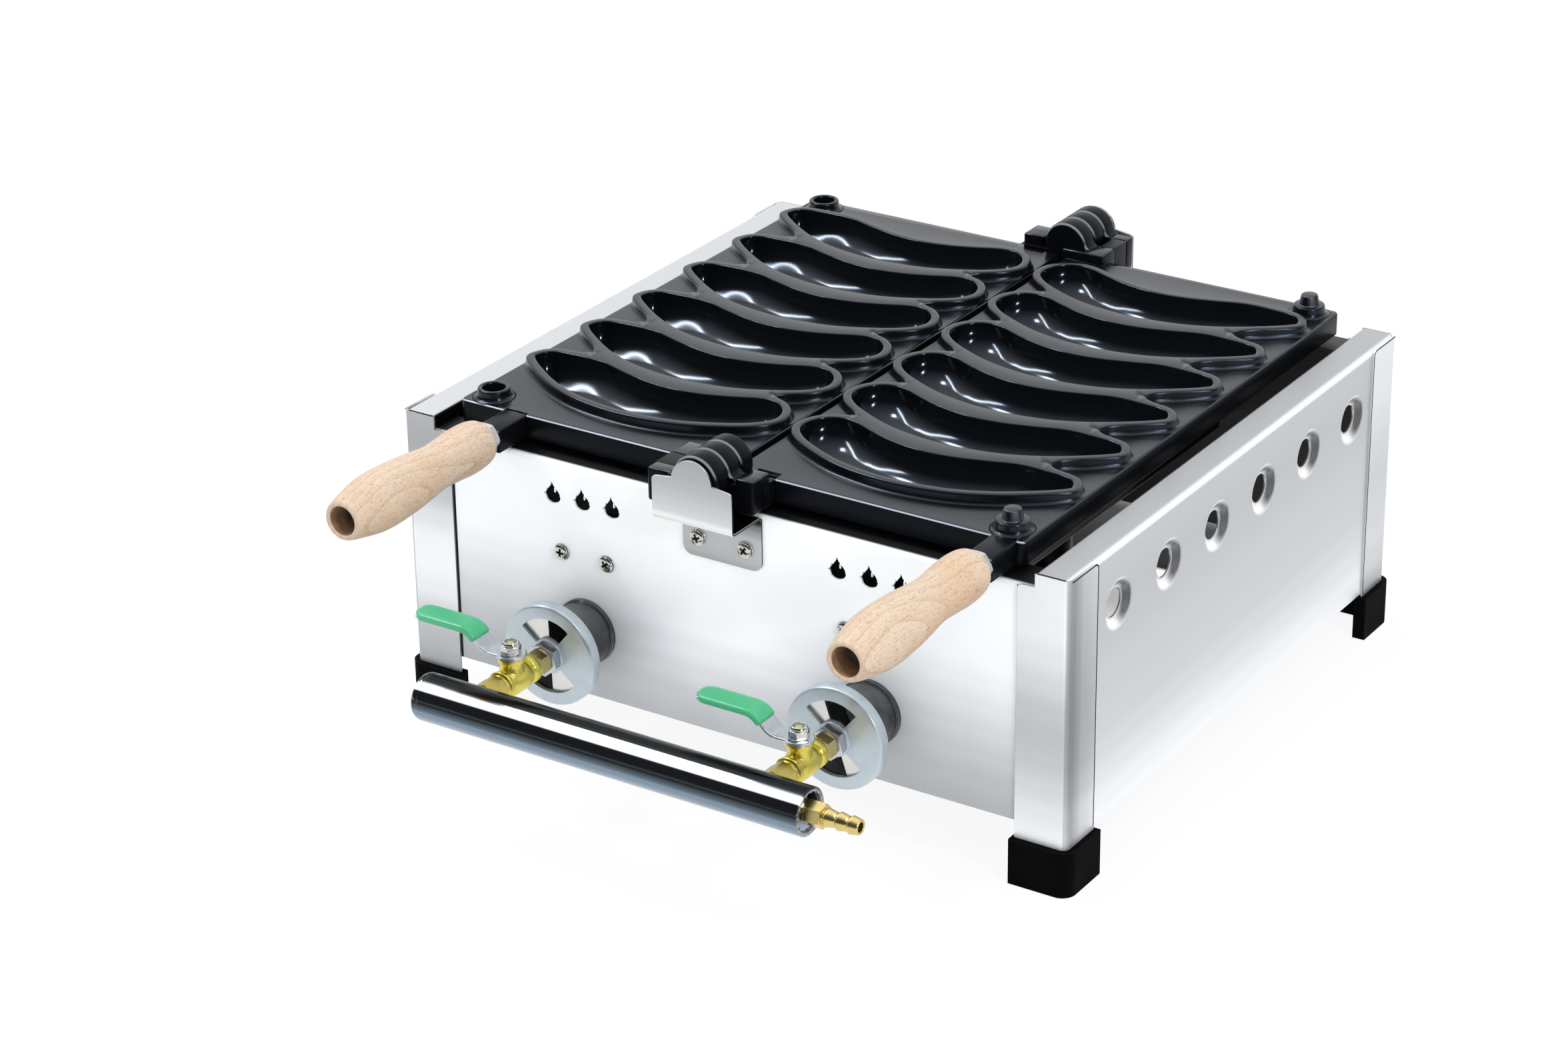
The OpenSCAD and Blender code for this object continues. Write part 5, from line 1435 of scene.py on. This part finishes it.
def stem_nut(word, nickel, nylon):
    """Lock nut on the valve stem: hexagon, round collar and the nylon ring in it."""
    place = (SIDES[word] * BURNER_X, STEM_Y, LEVER_Z + 1.8)
    body = "valve_" + word + "_lever"
    collar = [(3.02, 4.2), (4.7, 4.2), (4.75, 5.4), (4.5, 6.3), (4.1, 6.65), (3.4, 6.6), (3.3, 5.4),
              (3.02, 5.3)]
    parts = [closed_ring(hex_ring(10, 0, 4.6, 3.02, spin=20), UP, place),
             closed_ring(turned(collar), UP, place)]
    ring = [(2.35, 4.9), (3.32, 4.9), (3.32, 5.9), (3.0, 6.1), (2.35, 5.9)]
    parts.append(closed_ring(turned(ring), UP, place) + (1,))
    fitted("lock_nut_" + word, "stem_nut_" + word, body, "zinc", parts, nickel, nylon)


def valve_stem(word, brass):
    """Brass stem whose narrowed tip ends in the lock nut's ring."""
    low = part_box("valve_stem_" + word)[0]
    top = LEVER_Z + 7.7 - low.z / MM
    profile = [(0, 0), (2.7, 0), (3.0, 0.3), (3.0, top - 3.2), (2.2, top - 2.6), (2.2, top - 0.3),
               (1.9, top), (0, top)]
    part = closed_turning(turned(profile), UP, (SIDES[word] * BURNER_X, STEM_Y, low.z / MM))
    fitted("turned_stem_" + word, "valve_stem_" + word, "valve_" + word + "_lever", "brass", [part], brass)


def weld_bead(radius, thick, count=160):
    """Uneven ring: a torus whose thickness is modulated by two sines of its angle."""
    a = np.arange(count)[:, None] * 2 * math.pi / count
    b = np.arange(12)[None] * 2 * math.pi / 12
    r = thick * (1 + 0.22 * np.sin(17 * a) + 0.16 * np.sin(29 * a + 1.0))
    x = (radius + r * np.cos(b)) * np.cos(a)
    y = (radius + r * np.cos(b)) * np.sin(a)
    return np.stack([x, y, r * np.sin(b) + 0 * a], axis=-1)


def gas_manifold(chrome, bright):
    """Chromed pipe: round left end with its seam, and a sunk right end with a rough weld."""
    left = -120.5
    right = 122.5
    length = right - left
    profile = [(0, 0), (9.8, 0), (11.4, 0.3), (12.5, 1.0), (13.05, 2.0), (13.2, 3.4), (13.2, 4.4),
               (13.02, 4.7), (13.02, 4.9), (PIPE_R, 5.2)]
    profile += [(PIPE_R, x) for x in (40, 80, 120, 160, 200, length - 1.2)]
    profile += [(13.15, length - 0.5), (12.8, length - 0.1), (12.2, length), (11.6, length - 0.3),
                (11.3, length - 0.9), (11.25, length - 1.5), (4.0, length - 1.5), (0, length - 1.5)]
    place = (left, PIPE_Y, BURNER_Z)
    body = closed_turning(turned(profile, 96), RIGHT, place)
    bead = closed_ring(weld_bead(11.5, 1.0), RIGHT, (right - 0.9, PIPE_Y, BURNER_Z))
    fitted("gas_pipe", "manifold", "frame", "chrome_pipe", [body, bead + (1,)], chrome, bright, sharp=30)


def barbed_nipple(amber):
    """Brass hose nipple: hexagon and three saw-tooth ridges with soft crests."""
    place = (121.0, PIPE_Y, BURNER_Z)
    profile = [(2.7, 9.0), (4.3, 9.5), (4.3, 10.6)]
    for k in range(3):
        start = 10.5 + 7 * k
        profile += [(4.15, start + 0.7), (4.85, start + 1.5), (5.0, start + 1.9), (4.95, start + 2.2),
                    (4.3, start + 5.6), (4.1, start + 6.6)]
    profile += [(4.0, 31.1), (3.7, 31.5), (3.0, 31.5), (2.7, 31.2)]
    parts = [closed_ring(hex_ring(12, 0, 10.5, 2.7, spin=14, slope=0.45), RIGHT, place),
             closed_ring(turned(profile), RIGHT, place)]
    fitted("barbed_nipple", "hose_barb", "frame", "brass", parts, amber, sharp=40)


def bracket_rows():
    """Points down the middle of a bracket's outer face, the ways out of it, and half its width there.

    The profile is a Z: the front plate, a bend, the shelf, a bend and the foot. The half width
    is a circle's at the dome, then constant, with arcs at the shoulders and the foot's corners.
    """
    front = 216.7
    back = 189.4
    foot = 139.8
    shelf = 170.8
    wide = 25.0
    square = np.radians(np.linspace(0, 90, 8))
    rows = [(front, AXIS_Z + 12.6 * math.sin(a) - 0.45, 12.6 * math.cos(a))
            for a in np.radians(np.linspace(90, 4.1, 16))]
    rows += [(front, 193.2 + 2.5 * math.sin(a), wide - 2.5 + 2.5 * math.cos(a))
             for a in np.radians(np.linspace(90, 0, 6))]
    rows += [(front, z, wide) for z in (188.0, 182.0)]
    rows += [(front - 3 + 3 * math.cos(a), shelf + 3 - 3 * math.sin(a), wide) for a in square]
    rows += [(back + 1.5, shelf, wide)]
    rows += [(back + 1.5 - 1.5 * math.sin(a), shelf - 1.5 + 1.5 * math.cos(a), wide)
             for a in np.radians(np.linspace(15, 90, 6))]
    rows += [(back, 160.0, wide), (back, 150.0, wide)]
    rows += [(back, foot + 5.5 - 5.5 * math.sin(a), wide - 5.5 + 5.5 * math.cos(a))
             for a in np.radians(np.linspace(0, 90, 9))]
    rows += [(back, foot, 0.0)]
    return np.array(rows)


def bent_bracket(end, material):
    """Z-shaped sheet round the hinge pin: each row is a flat loop with rubbed corners."""
    rows = bracket_rows()
    line = rows[:, :2]
    along = np.gradient(line, axis=0)
    # The upright rows of the dome and shoulders, and those of the foot
    along[:22] = (0, -1)
    along[-10:] = (0, -1)
    along /= np.linalg.norm(along, axis=1)[:, None]
    out = np.stack([-along[:, 1], along[:, 0]], axis=-1)
    half = rows[:, 2]
    thick = 1.5
    soft = 0.25
    # Front corners, then rear corners, each cut by the small width soft
    corners = [(-1, 0, soft), (1, 0, soft), (1, soft, 0), (1, thick - soft, 0), (1, thick, soft),
               (-1, thick, soft), (-1, thick - soft, 0), (-1, soft, 0)]
    loops = []
    for side, depth, inset in corners:
        spot = line - out * depth
        loops.append(np.stack([side * np.maximum(half - inset, 0), spot[:, 0], spot[:, 1]], axis=-1))
    points = np.stack(loops, axis=1) * (1, -1 if end == "front" else 1, 1)
    part = surface(set_at(points, UP, (0, 0, 0)), wrap_columns=True)
    fitted("bent_bracket_" + end, "bracket_" + end, "frame", "bracket_steel", [part], material, sharp=30)


# Frame pieces: CAD posts, sides and feet with new materials, new end panels and joint ribbons; then the
# lamps and the assembly

def dress(name, material):
    """Gives a CAD node its finished material."""
    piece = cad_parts[name]
    if not piece.material_slots:
        piece.data.materials.append(material)
    for place in piece.material_slots:
        place.material = material


def dress_frame():
    """Painted light and shade on the posts and side panels, with lit and shaded copies of the steel for the
    sides and posts, and rubber for the feet.
    """
    # Painted light and shade over the height; the bright stops near 180 mm are a painted highlight on the
    # strip's bend
    side = [(28, 0.97), (40, 0.94), (54, 0.885), (68, 0.84), (82, 0.81), (110, 0.79), (138, 0.76),
            (152, 0.75), (174, 0.765), (179.4, 0.77), (180.2, 0.9), (180.6, 0.92), (180.9, 0.68),
            (181, 0.67)]
    # The left side's strip gets a lighter painted tone than the right's
    other_side = side[:-2] + [(180.9, 0.79), (181, 0.78)]
    left = [(3, 0.665), (30, 0.68), (45, 0.73), (60, 0.82), (75, 0.915), (90, 0.95), (105, 0.945),
            (120, 0.88), (135, 0.77), (150, 0.695), (165, 0.68), (181, 0.7)]
    right = [(3, 0.96), (30, 0.945), (45, 0.885), (60, 0.82), (75, 0.765), (90, 0.745), (105, 0.772),
             (120, 0.842), (135, 0.91), (150, 0.952), (181, 0.94)]
    flange = [(3, 0.98), (30, 0.97), (45, 0.935), (60, 0.84), (75, 0.772), (90, 0.75), (105, 0.746),
              (120, 0.76), (135, 0.784), (150, 0.806), (165, 0.834), (181, 0.86)]
    rear = [(3, 0.7), (30, 0.72), (45, 0.82), (60, 0.845), (75, 0.83), (100, 0.81), (120, 0.83),
            (135, 0.86), (150, 0.885), (181, 0.9)]
    # Painted shade along y: the post is darkest where the bend meets the side, then lightens towards its
    # edge
    bend = [(-132.32, 1.0), (-132.2, 1.0), (-131.8, 0.8), (-130.0, 0.68), (-127.5, 0.65), (-124.0, 0.73),
            (-117.0, 0.84), (-103.0, 0.9)]
    panels = {"left": sheet_steel("left_panel_steel", other_side, inner_axis="X"),
              "right": sheet_steel("right_panel_steel", side, inner_axis="X")}
    posts = {}
    for word, front in (("left", left), ("right", right)):
        posts["front_" + word] = sheet_steel("front_" + word + "_post_steel", front, flange=flange,
                                             cross=bend, metallic=0.6)
    posts["rear_left"] = sheet_steel("rear_post_steel", rear)
    posts["rear_right"] = posts["rear_left"]
    for word in SIDES:
        dress("side_panel_" + word, panels[word])
    for place, steel in posts.items():
        dress("post_" + place, steel)
        dress("foot_" + place, RUBBER)


# One flame-shaped sight hole, in mm from its middle, anticlockwise from its highest tip
FLAME = np.array([
    (-1.0, 6.9), (-1.2, 5.6), (-1.7, 4.2), (-3.4, 1.8), (-4.2, 2.4), (-4.4, 1.0), (-5.2, -0.8),
    (-6.4, -1.0), (-5.3, -1.9), (-5.0, -3.1), (-4.4, -4.6), (-3.0, -5.6), (-1.0, -6.2), (1.0, -5.9),
    (2.8, -5.2),
    (4.2, -3.7), (4.7, -2.1), (4.3, -1.8), (4.2, -0.3), (3.0, 1.6), (1.5, 2.9), (1.6, 1.1), (1.2, 0.2),
    (0.7, 0.9), (0.8, 2.6), (1.1, 4.2), (0.6, 3.7), (-0.4, 5.9)])
FLAME_X = (-110.5, -91.0, -71.6, 71.6, 91.0, 110.5)
FLAME_Z = 153.4


def upright(loop, y):
    """Loop of x and z, stood up at one place along y."""
    return np.column_stack([loop[:, 0], np.full(len(loop), y), loop[:, 1]])


def cut_sheet(outline, holes, y0, y1):
    """Flat sheet between two places along y: a polygon with holes, its copy behind, and their walls."""
    loops = [np.array(outline, float)] + holes
    flat = [[Vector((a, b, 0)) for a, b in loop] for loop in loops]
    corners = np.array(tessellate_polygon(flat))
    spots = np.concatenate(loops)
    parts = [(set_at(upright(spots, y), UP, (0, 0, 0)), corners) for y in (y0, y1)]
    for loop in loops:
        wall = np.array([upright(loop, y) for y in (y0, y1)])
        parts.append(surface(set_at(wall, UP, (0, 0, 0)), wrap_columns=True))
    return parts


def along_x(section, x0, x1):
    """Closed section in y and z carried from x0 to x1, its ends drawn together to one point."""
    section = np.array(section, float)
    heart = section.mean(axis=0) + 0 * section
    rows = [(heart, x0), (section, x0), (section, x1), (heart, x1)]
    return np.array([np.column_stack([np.full(len(p), x), p]) for p, x in rows])


def end_panel(end, material):
    """End panel with its six flame holes, and the ledge that its top is bent into."""
    side = -1 if end == "front" else 1
    holes = []
    for x in FLAME_X:
        hole = FLAME * (-1.02 * side, 1.0) + (x, FLAME_Z)
        holes.append(hole[::-side])
    edge = 204.0
    outline = [(-edge, 36), (edge, 36), (edge, BEND_Z), (-edge, BEND_Z)]
    parts = cut_sheet(outline, holes, side * PANEL_Y, side * (PANEL_Y - SHEET))
    bend = LEDGE_Z - BEND_Z
    section = quarter(PANEL_Y - bend, BEND_Z, bend, 0, 90, 7)
    section += [(166.856, LEDGE_Z), (166.856, LEDGE_Z - SHEET)]
    section += quarter(PANEL_Y - bend, BEND_Z, bend - SHEET, 90, 0, 5)
    section = [(side * y, z) for y, z in section]
    parts.append(surface(set_at(along_x(section, -edge, edge), UP, (0, 0, 0)), wrap_columns=True))
    fitted(end + "_sheet", end + "_panel", "frame", "panel_steel", parts, material, sharp=25)


def end_panels():
    """Front and rear panels with painted light and shade over their height; their ledges lie in the plates'
    shade, painted near black.
    """
    # Painted shading: light at the top, greyer at the bottom and near the ends, near black on the ledge
    face = [(36, 0.75), (54, 0.795), (68, 0.85), (82, 0.92), (96, 0.985), (110, 1.0), (172.4, 1.0),
            (172.9, 0.3), (173, 0.03)]
    outer = [(36, 0.66), (54, 0.69), (68, 0.735), (82, 0.785), (96, 0.845), (110, 0.895), (124, 0.93),
             (172.4, 0.95), (172.9, 0.3), (173, 0.03)]
    steel = sheet_steel("end_panel_steel", face, inner_axis="Y", outer=outer, roughness=0.5, metallic=0.08)
    for end in ("front", "back"):
        end_panel(end, steel)


def rear_seam(inset):
    """Line up the rear edge of a post's side, round its corner and along its top."""
    arc = np.radians(np.linspace(0, 90, 6))
    r = 3.5 - inset
    y = np.concatenate([[160.06 + inset], 163.56 - r * np.cos(arc), [187.0]])
    z = np.concatenate([[28.0], 177.1 + r * np.sin(arc), [180.6 - inset]])
    return np.column_stack([210.03 + 0 * y, y, z])


def seams():
    """Painted shade in the joints round the corner posts: thin dark ribbons just off the sheets."""
    grids = []
    for x_side in (-1, 1):
        for y_side in (-1, 1):
            # Joint of the end panel and the post's front
            wide = 1.5 if x_side < 0 else 0.5
            joint = np.array([(179.0 - wide, 187.9, 36), (179.0 - wide, 187.9, 172)])
            # End of the side strip over the post
            end = np.array([(189.6, 189.0, 180.63), (206.5, 189.0, 180.63)])
            for grid in ((joint, joint + (wide, 0, 0)), (rear_seam(0), rear_seam(0.9)),
                         (end, end - (0, 1.12, 0))):
                grids.append(np.stack(grid) * (x_side, y_side, 1))
    dark, tree, shader = new_material("joint_shade", 0.7, specular=0.1)
    finish(tree, shader, plain_colour(tree, (0.12, 0.12, 0.13)), 0.7, grain=0.02, edge=0.0)
    parts = [surface(set_at(grid, UP, (0, 0, 0))) for grid in grids]
    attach(sheet_object("joint_shadow_ribbons", parts, dark), "frame")


# Distance of the lamps from the object, in metres
LAMP_FAR = 2.2


def studio_lamps():
    """Long soft box at the left, and three small lamps for the cavities' glints."""
    heart = Vector((0.0, 0.05, 0.19))
    for name, way, size, power in (("long_box", (-0.67, -0.16, 0.72), (1.2, 0.09), 16.0),
                                   ("left_spot", (-0.52, -0.07, 0.85), (0.22, 0.22), 10.0),
                                   ("tip_spot", (0.84, -0.42, 0.33), (0.16, 0.16), 10.0),
                                   ("right_spot", (0.6, -0.25, 0.76), (0.22, 0.22), 10.0)):
        soft_lamp(name, heart + Vector(way).normalized() * LAMP_FAR, heart, size, power)


def plates_and_handles():
    """Both plates with their grips and nuts."""
    glossy = plate_material("plate_black", 0.125, 0.42, 0.7)
    satin = plate_material("plate_rim_black", 0.24, 0.42, 0.1)
    dull = plate_material("plate_side_black", 0.3, 0.1, 0.25)
    tops = cell_grids(cavity_top)
    undersides = cell_grids(cavity_underside)
    wood = {"left": beech_material("beech_left", (-158, 178), (0.06, 0.05)),
            "right": beech_material("beech_right", (150, 196), (-0.05, 0.07))}
    bored = bored_material()
    oiled = metal("oiled_steel", (0.2, 0.19, 0.18), 0.4)
    for word, side in SIDES.items():
        plate = cast_plate("plate_casting_" + word, side, tops, undersides, glossy, dull, satin)
        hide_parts("plate_" + word)
        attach(plate, "plate_" + word + "_assembly")
        grip(word, wood[word], bored)
        handle_nuts(word, ZINC, oiled)
        dress("handle_rod_" + word, oiled)


def gas_train():
    """Burners, shutters, nozzles, valves, levers, manifold and hose nipple."""
    disc = metal("shutter_zinc", (0.76, 0.8, 0.83), 0.42, grain=0.012, edge=0.4, cloud_scale=130.0,
                 metallic=0.75)
    collar = metal("neck_plate_steel", (0.86, 0.86, 0.85), 0.25)
    amber = metal("nozzle_brass", (0.87, 0.79, 0.52), 0.26, bright=(0.97, 0.92, 0.74))
    yellow = metal("valve_brass", (0.88, 0.82, 0.4), 0.33, grain=0.02, bright=(1.0, 0.95, 0.65))
    olive = metal("valve_hex_brass", (0.83, 0.76, 0.42), 0.24, bright=(0.95, 0.9, 0.65))
    iron = burner_material()
    green = sleeve_material()
    nylon = nylon_material()
    tape = tape_material()
    bead = metal("weld_grey", (0.66, 0.68, 0.7), 0.3, grain=0.05, cloud=0.2)
    for word in SIDES:
        dress("burner_" + word, iron)
        dress("neck_plate_" + word, collar)
        valve_stem(word, yellow)
        shutter_disc(word, disc)
        nozzle_parts(word, ZINC, amber, tape)
        valve_castings(word, yellow, olive)
        lever(word, ZINC, green)
        stem_nut(word, NICKEL, nylon)
    gas_manifold(chrome_material(), bead)
    barbed_nipple(amber)


RUBBER = rubber_material()
ZINC = metal("zinc_plate", (0.78, 0.8, 0.82), 0.28, cloud_scale=120.0)
NICKEL = metal("nickel_plate", (0.82, 0.82, 0.8), 0.16, cloud=0.04)

bpy.context.scene.view_settings.view_transform = "Standard"
photo_camera()
studio_world()
pale_floor()
studio_lamps()
dress_frame()
end_panels()
seams()
plates_and_handles()
gas_train()
screws(NICKEL, metal("screw_shade", (0.07, 0.07, 0.07), 0.5))
BRACKET = bracket_material()
for name in ("front", "rear"):
    bent_bracket(name, BRACKET)
    dress("hinge_pin_" + name, NICKEL)
